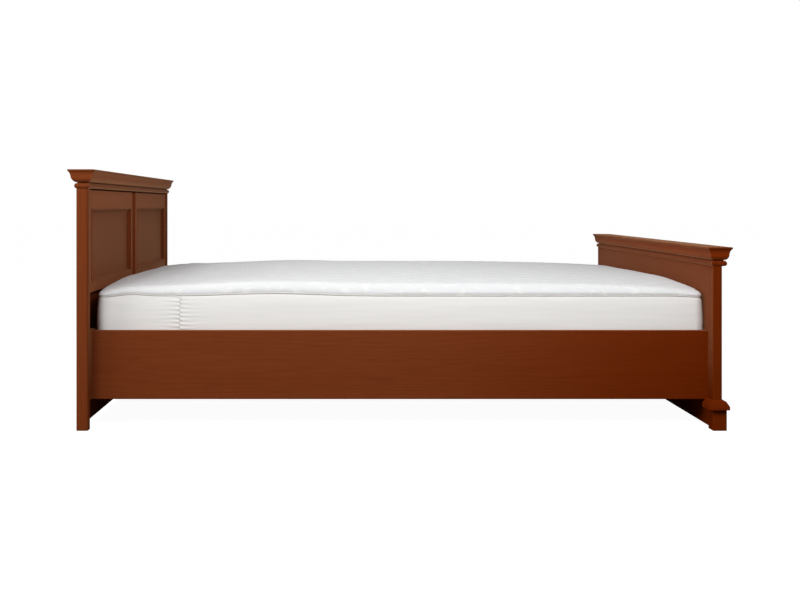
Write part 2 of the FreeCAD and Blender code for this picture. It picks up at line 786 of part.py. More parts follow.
inner_board = board("foot_inner_board", (foot_inner, -post_inner, s.plinth_block_tall),
                    (foot_face, post_inner, foot_post_top))
foot_points = foot_hanger_holes + board_holes["foot", "left"] + board_holes["foot", "right"]
node(drilled(inner_board, foot_points, -PLUS_X))

for side, inward in (("left", PLUS_Y), ("right", -PLUS_Y)):
    is_left = side == "left"
    y0 = -post_inner if is_left else post_inner - s.rail_block_wide
    block = board("head_rail_block_" + side, (head_recess, y0, s.rail_bottom),
                  (head_front, y0 + s.rail_block_wide, rail_top))
    node(drilled(block, board_holes["head", side], PLUS_X))
    y0 = -rail_outer if is_left else rail_inner
    outer_edges = [(LOW, LOW), (LOW, HIGH)] if is_left else [(HIGH, LOW), (HIGH, HIGH)]
    rail = board("side_rail_" + side, (head_front, y0, s.rail_bottom),
                 (foot_inner, y0 + s.rail_thick, rail_top), [(0, outer_edges, s.rail_round)])
    node(drilled(rail, rail_holes[side], inward))
    y0 = -rail_inner if is_left else rail_inner - s.ledge_wide
    node(board("ledge_" + side, (head_front, y0, ledge_bottom),
               (foot_inner, y0 + s.ledge_wide, slat_bottom)))


# ---------------------------------------------------------------- beam, legs and slats

beam = board("centre_beam", (head_recess, -s.beam_wide / 2, beam_bottom),
             (foot_inner, s.beam_wide / 2, slat_bottom))
node(drilled(beam, [head_beam_hole, foot_beam_hole], -PLUS_Z))

leg_bottom = s.leg_foot_thick + s.stud_show
middle_x = (head_front + foot_inner) / 2
for name, x in (("head", middle_x - s.leg_spacing / 2), ("foot", middle_x + s.leg_spacing / 2)):
    leg = board("centre_leg_" + name, (x - s.leg_side / 2, -s.leg_side / 2, leg_bottom),
                (x + s.leg_side / 2, s.leg_side / 2, beam_bottom),
                [(2, ALL_CORNERS, s.slat_ease)])
    bore(leg, (s.leg_side / 2, s.leg_side / 2, 0), PLUS_Z, s.stud_radius + s.stud_clearance,
         s.stud_length - s.stud_show + s.stud_hole_spare)
    node(leg)
    foot = doc.addObject("PartDesign::Body", "leg_foot_" + name)
    foot.Label = foot.Name
    for radius, length in ((s.leg_foot_radius, s.leg_foot_thick),
                           (s.stud_radius, s.leg_foot_thick + s.stud_length)):
        turned = foot.newObject("PartDesign::AdditiveCylinder", "Turned")
        tie(turned, "Radius", radius)
        tie(turned, "Height", length)
    place(foot, (x, 0, 0))
    node(foot)

slat_pitch = (s.inner_length - 2 * s.slat_end_gap - s.slat_wide) / (s.slat_count - 1)
slat_half = rail_inner - s.slat_side_gap
slats = []
for n in range(int(s.slat_count.value)):
    x = head_front + s.slat_end_gap + n * slat_pitch
    slats.append(board("slat_%02d" % (n + 1), (x, -slat_half, slat_bottom),
                       (x + s.slat_wide, slat_half, s.slat_top),
                       [(1, UPPER_CORNERS, s.slat_ease)]))
group("slats", slats)
group("bracket_screws", screws)


# ---------------------------------------------------------------- mattress

mattress_length = s.inner_length - s.mattress_head_gap - s.mattress_foot_gap
mattress_half_width = rail_inner - s.mattress_side_gap


def mattress_section(inset, up):
    """A rounded rectangle at height up, drawn in from the widest outline by inset."""
    half_x = mattress_length.value / 2 - inset
    half_y = mattress_half_width.value - inset
    corner = s.mattress_corner.value
    middle = corner * (1 - math.sqrt(0.5))
    quarters = ((1, 1), (-1, 1), (-1, -1), (1, -1))
    edges = []
    for n, (across, along) in enumerate(quarters):
        on_side = FreeCAD.Vector(across * half_x, along * (half_y - corner), up)
        on_end = FreeCAD.Vector(across * (half_x - corner), along * half_y, up)
        bend = FreeCAD.Vector(across * (half_x - middle), along * (half_y - middle), up)
        start, end = (on_side, on_end) if n % 2 == 0 else (on_end, on_side)
        edges.append(Part.Arc(start, bend, end).toShape())
        across, along = quarters[(n + 1) % 4]
        if n % 2 == 0:
            after = FreeCAD.Vector(across * (half_x - corner), along * half_y, up)
        else:
            after = FreeCAD.Vector(across * half_x, along * (half_y - corner), up)
        edges.append(Part.LineSegment(end, after).toShape())
    return Part.Wire(edges)


BORDER_STEPS = 4
SHOULDER_STEPS = 3
CROWN_STEPS = 5


def mattress_sections():
    """(inset, height) pairs up the mattress: underside, pipings, border and crown."""
    reach = s.piping_reach.value
    ridge = s.piping_tall.value / 2
    low = s.mattress_under_round.value
    high = s.mattress_border.value
    crown = s.mattress_crown.value
    bulge = s.border_bulge.value
    levels = [(reach + low, 0.0), (reach, low - ridge), (0.0, low), (reach, low + ridge)]
    for n in range(1, BORDER_STEPS):
        share = n / BORDER_STEPS
        up = low + ridge + share * (high - low - 2 * ridge)
        levels.append((reach - bulge * math.sin(share * math.pi), up))
    levels += [(reach, high - ridge), (0.0, high), (reach, high + ridge)]
    shoulder_in = s.mattress_shoulder_in.value
    shoulder_up = s.mattress_shoulder_up.value
    for n in range(1, SHOULDER_STEPS + 1):
        turn = n / SHOULDER_STEPS * math.pi / 2
        levels.append((reach + shoulder_in * (1 - math.cos(turn)),
                       high + ridge + shoulder_up * math.sin(turn)))
    flat_in, flat_up = reach + shoulder_in, high + ridge + shoulder_up
    across = mattress_half_width.value - s.mattress_corner.value - flat_in
    for n in range(1, CROWN_STEPS):
        share = n / CROWN_STEPS
        rise = (high + crown - flat_up) * (1 - (1 - share) ** 2)
        levels.append((flat_in + share * across, flat_up + rise))
    return levels


mattress = doc.addObject("Part::Feature", "mattress")
mattress.Label = "mattress"
mattress.Shape = Part.makeLoft([mattress_section(*level) for level in mattress_sections()],
                               True, True)
mattress_x = head_front + s.mattress_head_gap + mattress_length / 2
place(mattress, (mattress_x, 0, s.slat_top + s.mattress_float))
node(mattress)


# ---------------------------------------------------------------- check and write

doc.recompute()
for thing in doc.Objects:
    if "Invalid" in thing.State or "Error" in thing.State:
        raise RuntimeError("%s failed: %s" % (thing.Label, thing.State))

os.makedirs("parts", exist_ok=True)
whole = FreeCAD.BoundBox()
for piece in nodes:
    shape = piece.Shape
    if shape.isNull() or not shape.isValid() or not shape.Solids:
        raise RuntimeError(piece.Label + " has no valid solid")
    whole.add(shape.BoundBox)
    shape.exportStep("parts/%s.step" % piece.Label)

print("%d pieces, %.1f x %.1f x %.1f mm" % (len(nodes), whole.XLength, whole.YLength, whole.ZLength))
print("x %.1f to %.1f, z from %.2f" % (whole.XMin, whole.XMax, whole.ZMin))
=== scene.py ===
# %% [markdown]
# # A double panel bed in stained wood
# The bed stands in a fixed frame: X runs from the headboard to the footboard, Y to the right as seen from the
# foot, Z up, all in metres. Its solids come from the CAD model. This lesson gives them what a photograph shows:
# rounded edges, moulded profiles, wood grain and a quilted mattress. Every visible board is worked out again
# with numpy from the corners of the CAD solid it stands for, so nothing has to be fitted by eye.

# %% Load the frame
import bpy
import mathutils
import numpy as np
from math import pi, radians
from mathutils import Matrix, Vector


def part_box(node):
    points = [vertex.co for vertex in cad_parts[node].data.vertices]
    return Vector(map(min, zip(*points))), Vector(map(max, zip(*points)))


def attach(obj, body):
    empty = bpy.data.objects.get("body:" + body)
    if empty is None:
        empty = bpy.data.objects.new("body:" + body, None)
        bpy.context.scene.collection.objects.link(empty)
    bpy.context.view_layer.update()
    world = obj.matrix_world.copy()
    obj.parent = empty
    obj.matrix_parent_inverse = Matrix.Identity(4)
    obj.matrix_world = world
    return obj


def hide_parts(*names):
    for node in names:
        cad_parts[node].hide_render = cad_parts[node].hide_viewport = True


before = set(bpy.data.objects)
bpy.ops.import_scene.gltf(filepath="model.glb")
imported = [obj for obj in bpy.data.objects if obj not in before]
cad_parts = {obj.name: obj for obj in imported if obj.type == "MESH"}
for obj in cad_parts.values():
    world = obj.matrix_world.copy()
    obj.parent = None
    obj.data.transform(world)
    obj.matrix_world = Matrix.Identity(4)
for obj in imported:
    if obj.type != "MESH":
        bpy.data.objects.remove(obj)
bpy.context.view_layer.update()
MM = 0.001


def corners(*nodes):
    """Lowest and highest corner of the box round some CAD nodes, as arrays."""
    boxes = [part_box(name) for name in nodes]
    low = np.min([np.array(box[0]) for box in boxes], axis=0)
    high = np.max([np.array(box[1]) for box in boxes], axis=0)
    return low, high


def in_scene(name, data):
    """A new object that shows some data, linked into the scene."""
    item = bpy.data.objects.new(name, data)
    bpy.context.scene.collection.objects.link(item)
    return item


# %% [markdown]
# ## Camera
# The photograph is taken level and square to the bed's long side, from low over the mattress. Upright edges
# stay upright in it, which a tilted camera can't give, so the lens is shifted instead: the camera looks
# straight along +Y and the frame slides down and to the right.

# %% Camera
photo_width, photo_height = 800, 601
lens_in_pixels = 1210.25
centre_x, centre_y = 343.63, 204.82
sensor_width = 36.0

camera_data = bpy.data.cameras.new("camera")
camera_data.sensor_width = sensor_width
camera_data.lens = lens_in_pixels * sensor_width / photo_width
camera_data.shift_x = (photo_width / 2 - centre_x) / photo_width
camera_data.shift_y = (centre_y - photo_height / 2) / photo_width
camera = in_scene("camera", camera_data)
camera.location = (-0.1811, -4.7735, 0.7271)
camera.rotation_euler = (radians(90), 0, 0)
bpy.context.scene.camera = camera
print("lens", round(camera_data.lens, 2), "mm")

# %% [markdown]
# ## Meshes from arrays
# A board or a moulding is one closed profile carried along a straight line. As arrays that is a stack of rings:
# ring number times profile point. Quads join each ring to the next, and the first and last ring are closed with
# one flat face each. The same function serves every wooden piece.

# %% Rings to faces
SHARP_ANGLE, NEVER_SHARP = 32, 180


def ring_faces(rings, count):
    """Quads between neighbouring rings of count points, then a face on each end.

    Point j of ring i has the number i * count + j, and every quad joins
    (i, j), (i, j + 1), (i + 1, j + 1) and (i + 1, j).
    """
    i, j = np.meshgrid(np.arange(rings - 1), np.arange(count), indexing="ij")
    after = (j + 1) % count
    below, above = i * count, (i + 1) * count
    quads = np.stack([below + j, below + after, above + after, above + j], axis=-1)
    faces = quads.reshape(-1, 4).tolist()
    faces.append(list(range(count))[::-1])
    faces.append(list(range((rings - 1) * count, rings * count)))
    return faces


def build(name, parts, material, body="bed_frame", sharp=SHARP_ANGLE):
    """One object from several parts, each given as (points, faces, grain).

    grain is a vector for each point: where it lies along, across and through its own board, in metres. Edges
    that turn by more than sharp degrees are shaded sharp.
    """
    points, faces, grain, start = [], [], [], 0
    for part_points, part_faces, part_grain in parts:
        points.append(part_points)
        grain.append(part_grain)
        faces += [[start + n for n in face] for face in part_faces]
        start += len(part_points)
    mesh = bpy.data.meshes.new(name)
    mesh.from_pydata(np.concatenate(points), [], faces)
    attribute = mesh.attributes.new("grain", "FLOAT_VECTOR", "POINT")
    attribute.data.foreach_set("vector", np.concatenate(grain).astype(np.float32).ravel())
    mesh.polygons.foreach_set("use_smooth", np.ones(len(mesh.polygons), dtype=bool))
    mesh.set_sharp_from_angle(angle=radians(sharp))
    mesh.materials.append(material)
    piece = in_scene(name, mesh)
    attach(piece, body)
    return piece


# %% [markdown]
# ## Boards
# A real board never has knife edges: it is eased by a plane or a cutter before it is stained. The profile is a
# rectangle whose four corners are quarter circles, each with its own radius, and towards each end of the board
# the profile draws in along another quarter circle. A short straight step beside every curve keeps the shading
# of the flat faces flat.

# %% Rounded boards
STEP_BESIDE_CURVE = 0.4 * MM
LEAST_RADIUS = 0.05 * MM
CORNER_STEPS, END_STEPS = 5, 3


def rounded_outline(wide, tall, radii, inset):
    """A rectangle about the origin with rounded corners, drawn in by inset on every side.

    Corner k sits at angle 45 + 90 k degrees below the left. Its points are centre + radius (cos a, sin a)
    for a from 180 + 90 k to 270 + 90 k degrees, with one more point before and after along the sides.
    """
    signs = np.array([(-1, -1), (1, -1), (1, 1), (-1, 1)])
    radii = np.maximum(np.array(radii) - inset, LEAST_RADIUS)[:, None]
    middle = signs * (np.array([wide, tall]) / 2 - inset - radii)
    turn = pi + pi / 2 * (np.arange(4)[:, None] + np.linspace(0, 1, CORNER_STEPS + 1)[None, :])
    arcs = middle[:, None, :] + radii[:, :, None] * np.stack([np.cos(turn), np.sin(turn)], axis=-1)
    back = np.stack([-np.sin(turn[:, :1]), np.cos(turn[:, :1])], axis=-1) * STEP_BESIDE_CURVE
    on = np.stack([-np.sin(turn[:, -1:]), np.cos(turn[:, -1:])], axis=-1) * STEP_BESIDE_CURVE
    return np.concatenate([arcs[:, :1] - back, arcs, arcs[:, -1:] + on], axis=1).reshape(-1, 2)


AXES = {"x": (1, 2, 0), "y": (2, 0, 1), "z": (0, 1, 2)}
GRAIN_SPREAD = (40, 0.035, 0.02)
board_count = 0


def grain_place(along, across, through):
    """Grain coordinates of one board, moved so that no two boards are cut from the same spot."""
    global board_count
    board_count += 1
    spot = np.random.default_rng(board_count).uniform(-1, 1, 3) * GRAIN_SPREAD
    return np.stack([along + spot[0], across + spot[1], through + spot[2]], axis=-1)


def board(low, high, axis, radii=(1, 1, 1, 1), end=1.0, face=None):
    """A board between two corners whose grain runs along axis.

    radii are the roundings in mm of its four long edges, in the order low-low, high-low, high-high, low-high
    of the other two axes (y z for x, z x for y, x y for z). end is the rounding of its two ends. face names
    the axis that its best side looks along.
    """
    a, b, run = AXES[axis]
    size = high - low
    turn = np.linspace(0, pi / 2, END_STEPS + 1)
    step = np.append(end * MM * (1 - np.cos(turn)), end * MM + STEP_BESIDE_CURVE)
    inset = np.append(end * MM * (1 - np.sin(turn)), 0.0)
    step = np.concatenate([step, size[run] - step[::-1]])
    inset = np.concatenate([inset, inset[::-1]])
    rings = np.stack([rounded_outline(size[a], size[b], np.array(radii) * MM, d) for d in inset])
    points = np.empty(rings.shape[:2] + (3,))
    middle = (low + high) / 2
    points[..., a] = rings[..., 0] + middle[a]
    points[..., b] = rings[..., 1] + middle[b]
    points[..., run] = (low[run] + step)[:, None]
    across, through = rings[..., 0], rings[..., 1]
    if face == "xyz"[a] or (face is None and size[a] < size[b]):
        across, through = through, across
    grain = grain_place(points[..., run] - low[run], across, through)
    return points.reshape(-1, 3), ring_faces(*rings.shape[:2]), grain.reshape(-1, 3)


# %% [markdown]
# ## Mouldings
# The crown under each cap, the bead below it, the plinth moulding and the slopes round the sunk panels are all
# run on a spindle and then mitred. Each strip is a profile of out and up distances, carried along a wall. At a
# mitre every point of the profile stops later, or earlier, by its own distance out.

# %% Arcs, profiles and mitred strips
def arc(start, end, rise, steps=7):
    """Points from start to before end on a circle that stands out by rise, to the right of the way.

    With h half the chord, the radius is (h^2 + rise^2) / (2 rise), and the angle to each side of the
    middle is asin(h / radius).
    """
    start, end = np.array(start, float), np.array(end, float)
    chord = end - start
    half = np.linalg.norm(chord) / 2
    way = chord / (2 * half)
    right = np.array([way[1], -way[0]])
    radius = (half * half + rise * rise) / (2 * rise)
    opening = np.arcsin(half / abs(radius))
    turn = np.linspace(-opening, opening, steps + 1)[:-1]
    middle = (start + end) / 2 + right * (rise - radius)
    along, aside = np.sin(turn)[:, None], np.sign(radius) * np.cos(turn)[:, None]
    return middle + abs(radius) * (along * way + aside * right)


def profile(*pieces):
    """Joins points and arcs, given in mm, into one closed profile in metres."""
    return np.concatenate([np.atleast_2d(np.array(piece, float)) for piece in pieces]) * MM


def mitred_strip(shape, start, end, out, up, mitre):
    """A strip of moulding from start to end. mitre is 1 round the outside of a core, -1 inside a window.

    A profile point (u, v) goes to wall point + u out + v up, and u mitre further along at each end. A pair
    of mitres is for the start and the end, and 0 makes a square end.
    """
    start, end, out, up = (np.array(v, float) for v in (start, end, out, up))
    length = np.linalg.norm(end - start)
    way = (end - start) / length
    if np.dot(np.cross(out, up), way) < 0:
        shape = shape[::-1]
    u, v = shape[:, :1], shape[:, 1:]
    on_wall = u * out + v * up
    at_start, at_end = np.broadcast_to(mitre, 2)
    rings = np.stack([start + on_wall - at_start * u * way, end + on_wall + at_end * u * way])
    along = (rings - start) @ way
    grain = grain_place(along, np.broadcast_to(v.T, along.shape), np.broadcast_to(u.T, along.shape))
    return rings.reshape(-1, 3), ring_faces(2, len(shape)), grain.reshape(-1, 3)


X, Y, Z = np.eye(3)


def round_core(shape, low, high, bottom):
    """Four strips round an upright core with the given corners in plan: +X, -X, -Y and +Y sides."""
    (x0, y0), (x1, y1) = low, high
    sides = [((x1, y0), (x1, y1), X), ((x0, y0), (x0, y1), -X),
             ((x0, y0), (x1, y0), -Y), ((x0, y1), (x1, y1), Y)]
    return [mitred_strip(shape, (*a, bottom), (*b, bottom), out, Z, 1) for a, b, out in sides]


def round_window(shape, face, low, high):
    """Four strips inside an upright window that looks along +X: bottom, top, left and right."""
    (y0, z0), (y1, z1) = low, high
    sides = [((y0, z0), (y1, z0), Z), ((y0, z1), (y1, z1), -Z),
             ((y0, z0), (y0, z1), Y), ((y1, z0), (y1, z1), -Y)]
    return [mitred_strip(shape, (face, *a), (face, *b), out, X, -1) for a, b, out in sides]


def eased(piece, width):
    """Rounds the arrises of a moulding a little, as sanding does, with a bevel."""
    bevel = piece.modifiers.new("sanded arrises", "BEVEL")
    bevel.width = width * MM
    bevel.segments = 2
    bevel.limit_method = "ANGLE"
    bevel.angle_limit = radians(SHARP_ANGLE)
    return piece


# %% [markdown]
# ## Stained wood
# The bed is finished in a dark red-brown stain under a satin lacquer. Three scales of figure make it wood: wide
# soft bands where the board crosses its growth rings, fine dark streaks a hand long, and short pores. All of
# them are stretched along the grain, so they read the grain attribute, which is measured along each board, and
# not the object's own axes. The figure is a node group, because the plain softwood under the mattress uses it
# too, with other colours.

# %% A group of grain nodes
def new_group(name, inputs, outputs):
    """An empty node group with inputs given as (name, kind, value) and outputs as (name, kind)."""
    group = bpy.data.node_groups.new(name, "ShaderNodeTree")
    for socket_name, kind, value in inputs:
        socket = group.interface.new_socket(socket_name, in_out="INPUT", socket_type="NodeSocket" + kind)
        if value is not None:
            socket.default_value = value
    for socket_name, kind in outputs:
        group.interface.new_socket(socket_name, in_out="OUTPUT", socket_type="NodeSocket" + kind)
    return group, group.nodes.new("NodeGroupInput").outputs, group.nodes.new("NodeGroupOutput").inputs


class Wires:
    """Adds nodes to one tree in short lines. Each call returns the new node's output."""

    def __init__(self, tree):
        self.tree = tree

    def set(self, socket, value):
        if isinstance(value, bpy.types.NodeSocket):
            self.tree.links.new(value, socket)
        elif value is not None:
            socket.default_value = value

    def fill(self, sockets, values):
        """Sets or wires several sockets by name."""
        for name, value in values.items():
            self.set(sockets[name], value)

    def math(self, operation, first, second=None, third=None, clamp=False):
        node = self.tree.nodes.new("ShaderNodeMath")
        node.operation = operation
        node.use_clamp = clamp
        for socket, value in zip(node.inputs, (first, second, third)):
            self.set(socket, value)
        return node.outputs[0]

    def vector(self, operation, first, second=None):
        node = self.tree.nodes.new("ShaderNodeVectorMath")
        node.operation = operation
        self.set(node.inputs[0], first)
        self.set(node.inputs[1], second)
        return node.outputs[0]

    def noise(self, place, scale, detail=2.0, roughness=0.5):
        node = self.tree.nodes.new("ShaderNodeTexNoise")
        self.fill(node.inputs, {"Vector": place, "Scale": scale, "Detail": detail, "Roughness": roughness})
        return node.outputs["Fac"]

    def figure(self, place, scales, detail=2.0, roughness=0.5):
        """Noise with a scale of its own along each axis."""
        return self.noise(self.vector("MULTIPLY", place, scales), 1.0, detail, roughness)

    def split(self, place):
        node = self.tree.nodes.new("ShaderNodeSeparateXYZ")
        self.set(node.inputs[0], place)
        return node.outputs

    def ramp(self, value, low, high, to_low=0.0, to_high=1.0, kind="SMOOTHSTEP"):
        node = self.tree.nodes.new("ShaderNodeMapRange")
        node.interpolation_type = kind
        for socket, number in zip(node.inputs, (value, low, high, to_low, to_high)):
            self.set(socket, number)
        return node.outputs[0]

    def mix(self, share, first, second):
        node = self.tree.nodes.new("ShaderNodeMix")
        node.data_type = "RGBA"
        self.set(node.inputs[0], share)
        self.set(node.inputs[6], first)
        self.set(node.inputs[7], second)
        return node.outputs[2]

    def bump(self, height, strength, distance):
        node = self.tree.nodes.new("ShaderNodeBump")
        self.fill(node.inputs, {"Height": height, "Strength": strength, "Distance": distance})
        return node.outputs[0]

    def group(self, tree, values):
        node = self.tree.nodes.new("ShaderNodeGroup")
        node.node_tree = tree
        self.fill(node.inputs, values)
        return node.outputs


def grain_group():
    """Wood figure from grain coordinates (along, across, through), in metres.

    The growth rings are rings about a line that runs just under the board: their number is the distance from
    it, sqrt(across^2 + through^2), bent by slow noise, over the ring pitch.
    """
    group, given, out = new_group(
        "wood figure",
        [("Place", "Vector", None), ("Ring pitch", "Float", 0.011), ("Wood", "Color", (0.13, 0.03, 0.008, 1)),
         ("Dark", "Color", (0.06, 0.015, 0.004, 1)), ("Light", "Color", (0.2, 0.06, 0.02, 1)),
         ("Contrast", "Float", 1.0)],
        [("Color", "Color"), ("Height", "Float"), ("Tone", "Float")])
    w = Wires(group)
    place = given["Place"]
    slow = w.figure(place, (1.1, 7.0, 7.0))
    wander = w.math("MULTIPLY", w.math("SUBTRACT", slow, 0.5), 0.085)
    _, across, through = w.split(place)
    deep = w.math("ADD", through, 0.045)
    distance = w.math("SQRT", w.math("ADD", w.math("MULTIPLY", across, across), w.math("MULTIPLY", deep, deep)))
    number = w.math("DIVIDE", w.math("ADD", distance, wander), given["Ring pitch"])
    wave = w.math("PINGPONG", number, 0.5)
    rings = w.ramp(wave, 0.0, 0.5)
    streaks = w.figure(place, (9.0, 190.0, 190.0), 3.0, 0.62)
    fine = w.figure(place, (26.0, 700.0, 700.0), 2.0, 0.6)
    bands = w.figure(place, (0.9, 16.0, 16.0))
    pores = w.ramp(w.figure(place, (55.0, 1500.0, 1500.0), 1.0), 0.62, 0.78)
    dark = w.math("MULTIPLY", w.ramp(streaks, 0.46, 0.72), 0.62)
    dark = w.math("ADD", dark, w.math("MULTIPLY", rings, 0.30))
    dark = w.math("ADD", dark, w.math("MULTIPLY", w.ramp(fine, 0.4, 0.75), 0.22))
    dark = w.math("ADD", dark, w.math("MULTIPLY", pores, 0.25))
    dark = w.math("MULTIPLY", dark, given["Contrast"], clamp=True)
    most_light = w.math("MULTIPLY", given["Contrast"], 0.55)
    light = w.math("MULTIPLY", w.ramp(bands, 0.42, 0.72), most_light, clamp=True)
    colour = w.mix(light, given["Wood"], given["Light"])
    w.set(out["Color"], w.mix(dark, colour, given["Dark"]))
    sunk = w.math("ADD", w.math("MULTIPLY", pores, 0.6), w.math("MULTIPLY", streaks, 0.3))
    w.set(out["Height"], w.math("SUBTRACT", 1.0, sunk))
    w.set(out["Tone"], dark)
    return group


wood_figure = grain_group()
print("nodes in the grain group:", len(wood_figure.nodes))


# %% Stained, lacquered wood
def new_material(name):
    """A material with one Principled shader, as (material, wires, shader inputs)."""
    material = bpy.data.materials.new(name)
    material.use_nodes = True
    shader = material.node_tree.nodes["Principled BSDF"]
    return material, Wires(material.node_tree), shader.inputs


def attribute(wires, name):
    node = wires.tree.nodes.new("ShaderNodeAttribute")
    node.attribute_name = name
    return node.outputs["Vector"]


def object_place(wires):
    return wires.tree.nodes.new("ShaderNodeTexCoord").outputs["Object"]


# Tones at the head hold a whitish painted reflection; those at the foot are darker and more red as painted
# shade.
HEAD_TONES_WITH_PAINTED_GLOSS = ((0.168, 0.037, 0.0100), (0.090, 0.018, 0.0046), (0.197, 0.047, 0.0135))
FOOT_TONES_IN_PAINTED_SHADE = ((0.134, 0.0175, 0.0012), (0.074, 0.0090, 0.0006), (0.160, 0.0230, 0.0018))


def stained_wood(name, lacquer, lightness=1.0):
    """Each tone is mixed along the bed, darker and more red towards the foot: painted light, with a whitish
    painted reflection at the head and painted shade towards the foot.

    lacquer is the share of coat and sheen over it, and lightness multiplies all the tones; above 1 that is
    painted light.
    """
    material, w, shader = new_material(name)
    along_bed, _, height = w.split(object_place(w))
    # Painted light along the bed: 0 at the head, where the light and its reflection are strongest, 1 at the
    # foot.
    painted_falloff_along_bed = w.ramp(along_bed, -0.1, 1.0)
    tones = [w.mix(painted_falloff_along_bed, *[tuple(lightness * part for part in tone) + (1,) for tone in pair])
             for pair in zip(HEAD_TONES_WITH_PAINTED_GLOSS, FOOT_TONES_IN_PAINTED_SHADE)]
    figure = w.group(wood_figure, {"Place": attribute(w, "grain"), "Ring pitch": 0.012, "Wood": tones[0],
                                   "Dark": tones[1], "Light": tones[2], "Contrast": 0.4})
    # Coat and sheen fade out from 0.3 m down to 0.09 m: painted shade in the gloss, which would else show the
    # glowing floor under the bed.
    above_floor = w.ramp(height, 0.09, 0.30)
    w.fill(shader, {
        "Base Color": figure["Color"],
        "Roughness": w.ramp(figure["Tone"], 0.0, 1.0, 0.40, 0.52, "LINEAR"),
        "Normal": w.bump(figure["Height"], 0.15, 0.0003),
        "Specular IOR Level": 0.0,
        "Coat Weight": w.math("MULTIPLY", above_floor, 0.3 * lacquer),
        "Coat Roughness": 0.35,
        "Sheen Weight": w.math("MULTIPLY", above_floor, 3.0 * lacquer),
        "Sheen Roughness": 0.3,
        "Sheen Tint": (1.0, 0.55, 0.28, 1)})
    return material


SATIN, CROWN_PAINTED_LIGHT, FRAME_PAINTED_LIGHT = 0.18, 1.3, 1.35
stained = stained_wood("stained wood", SATIN)
# The wood in the recess has no coat or sheen: painted shade, so that no gloss of the bright world shows in the
# dark recess.
unpolished = stained_wood("stained wood in the recess", 0.0)
# Painted light: the crowns are painted brighter than the rest, for the light that falls stronger on them up
# high.
crown_wood_with_painted_light = stained_wood("stained wood with painted light on the crowns", SATIN, CROWN_PAINTED_LIGHT)
# Painted light: the head frames are painted brighter than their panels, for the light that falls on them from
# above.
frames_with_painted_light = stained_wood("stained wood of the frames with painted light", SATIN, FRAME_PAINTED_LIGHT)

# %% [markdown]
# ## Headboard
# Two posts carry a top rail, and a recessed back board closes the space between them. Two frames of stiles and
# rails stand on that board, a little behind the posts' faces and with a dark gap between them. Each holds a
# sunk panel inside a sloped moulding with a bead. The posts' front edges are rounded most.

# %% Headboard posts, rail and boards
POST_RADII = (3, 7, 7, 3)
NECK_DEPTH = 3 * MM


def wooden(name, nodes, parts, material=stained):
    """One wooden piece that stands for the given CAD nodes."""
    piece = build(name, parts, material)
    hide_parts(*nodes)
    return piece


def grooved_rail(prefix):
    """A top rail as rings up its height, drawn in between the bead and the crown, which makes a dark line."""
    low, high = corners(prefix + "_top_rail")
    foot = corners(prefix + "_bead")[1][2] - low[2]
    top = corners(prefix + "_crown_ends")[0][2] - low[2]
    up = np.array([0, foot, foot, top, top, high[2] - low[2]])
    inset = np.array([0, 0, NECK_DEPTH, NECK_DEPTH, 0, 0])
    wide, long = (high - low)[:2]
    rings = np.stack([rounded_outline(wide, long, np.ones(4) * MM, d) for d in inset])
    middle = (low + high) / 2
    levels = np.broadcast_to(low[2] + up[:, None, None], rings[..., :1].shape)
    points = np.concatenate([rings + middle[:2], levels], axis=-1)
    grain = grain_place(rings[..., 1], np.broadcast_to(up[:, None], rings.shape[:2]), rings[..., 0])
    return points.reshape(-1, 3), ring_faces(*rings.shape[:2]), grain.reshape(-1, 3)


for side in ("left", "right"):
    node = "head_post_" + side
    wooden("headboard_post_" + side, [node], [board(*corners(node), "z", POST_RADII, 1.5, face="y")])
wooden("headboard_top_rail", ["head_top_rail"], [grooved_rail("head")])
wooden("headboard_back_board", ["head_back_board"], [board(*corners("head_back_board"), "y")], unpolished)
for side in ("left", "right"):
    node = "head_rail_block_" + side
    wooden(node.replace("head", "headboard"), [node], [board(*corners(node), "z")])


# %% Frames, panels and the mouldings round the panels
FRAME_ROUND = 4
BEAD_PROUD = 1.5


def frame_members(outer, window):
    """Two upright stiles over the full height with two rails between them, rounded on their outer edges.

    outer and window are the frame's and its window's lowest and highest corners.
    """
    (x0, y0, z0), (x1, y1, z1) = outer
    (_, wy0, wz0), (_, wy1, wz1) = window
    r = FRAME_ROUND
    return [
        board(np.array((x0, y0, z0)), np.array((x1, wy0, z1)), "z", (1, r, 1, 1), face="x"),
        board(np.array((x0, wy1, z0)), np.array((x1, y1, z1)), "z", (1, 1, r, 1), face="x"),
        board(np.array((x0, wy0, z0)), np.array((x1, wy1, wz0)), "y", (r, 1, 1, 1), face="x"),
        board(np.array((x0, wy0, wz1)), np.array((x1, wy1, z1)), "y", (1, 1, r, 1), face="x"),
    ]


def panel_moulding(deep):
    """Toe 2 mm high on the panel, a hollow slope, and a 5 mm bead that stands proud of the frame."""
    face = deep - BEAD_PROUD
    slope, bead = arc((14, 2), (5, face), -2), arc((5, face), (0, face), BEAD_PROUD)
    return profile((0, 0), (14, 0), slope, bead, (0, face))


def framed_panel(prefix, name, side, members, material=stained):
    """One frame of the given CAD members, the moulding in its window and the sunk panel."""
    moulding, panel = "%s_moulding_%s" % (prefix, side), "%s_panel_%s" % (prefix, side)
    window_low, window_high = window = corners(moulding)
    wooden("%s_frame_%s" % (name, side), members, frame_members(corners(*members), window), material)
    deep = (window_high[0] - window_low[0]) / MM
    strips = round_window(panel_moulding(deep), window_low[0], window_low[1:], window_high[1:])
    eased(wooden("%s_panel_moulding_%s" % (name, side), [moulding], strips), 0.7)
    wooden("%s_panel_%s" % (name, side), [panel], [board(*corners(panel), "z", face="x")])


for side in ("left", "right"):
    members = ["head_stile_%s_a" % side, "head_stile_%s_b" % side, "head_low_rail_" + side,
               "head_high_rail_" + side]
    framed_panel("head", "headboard", side, members, frames_with_painted_light)
print("boards so far:", board_count)


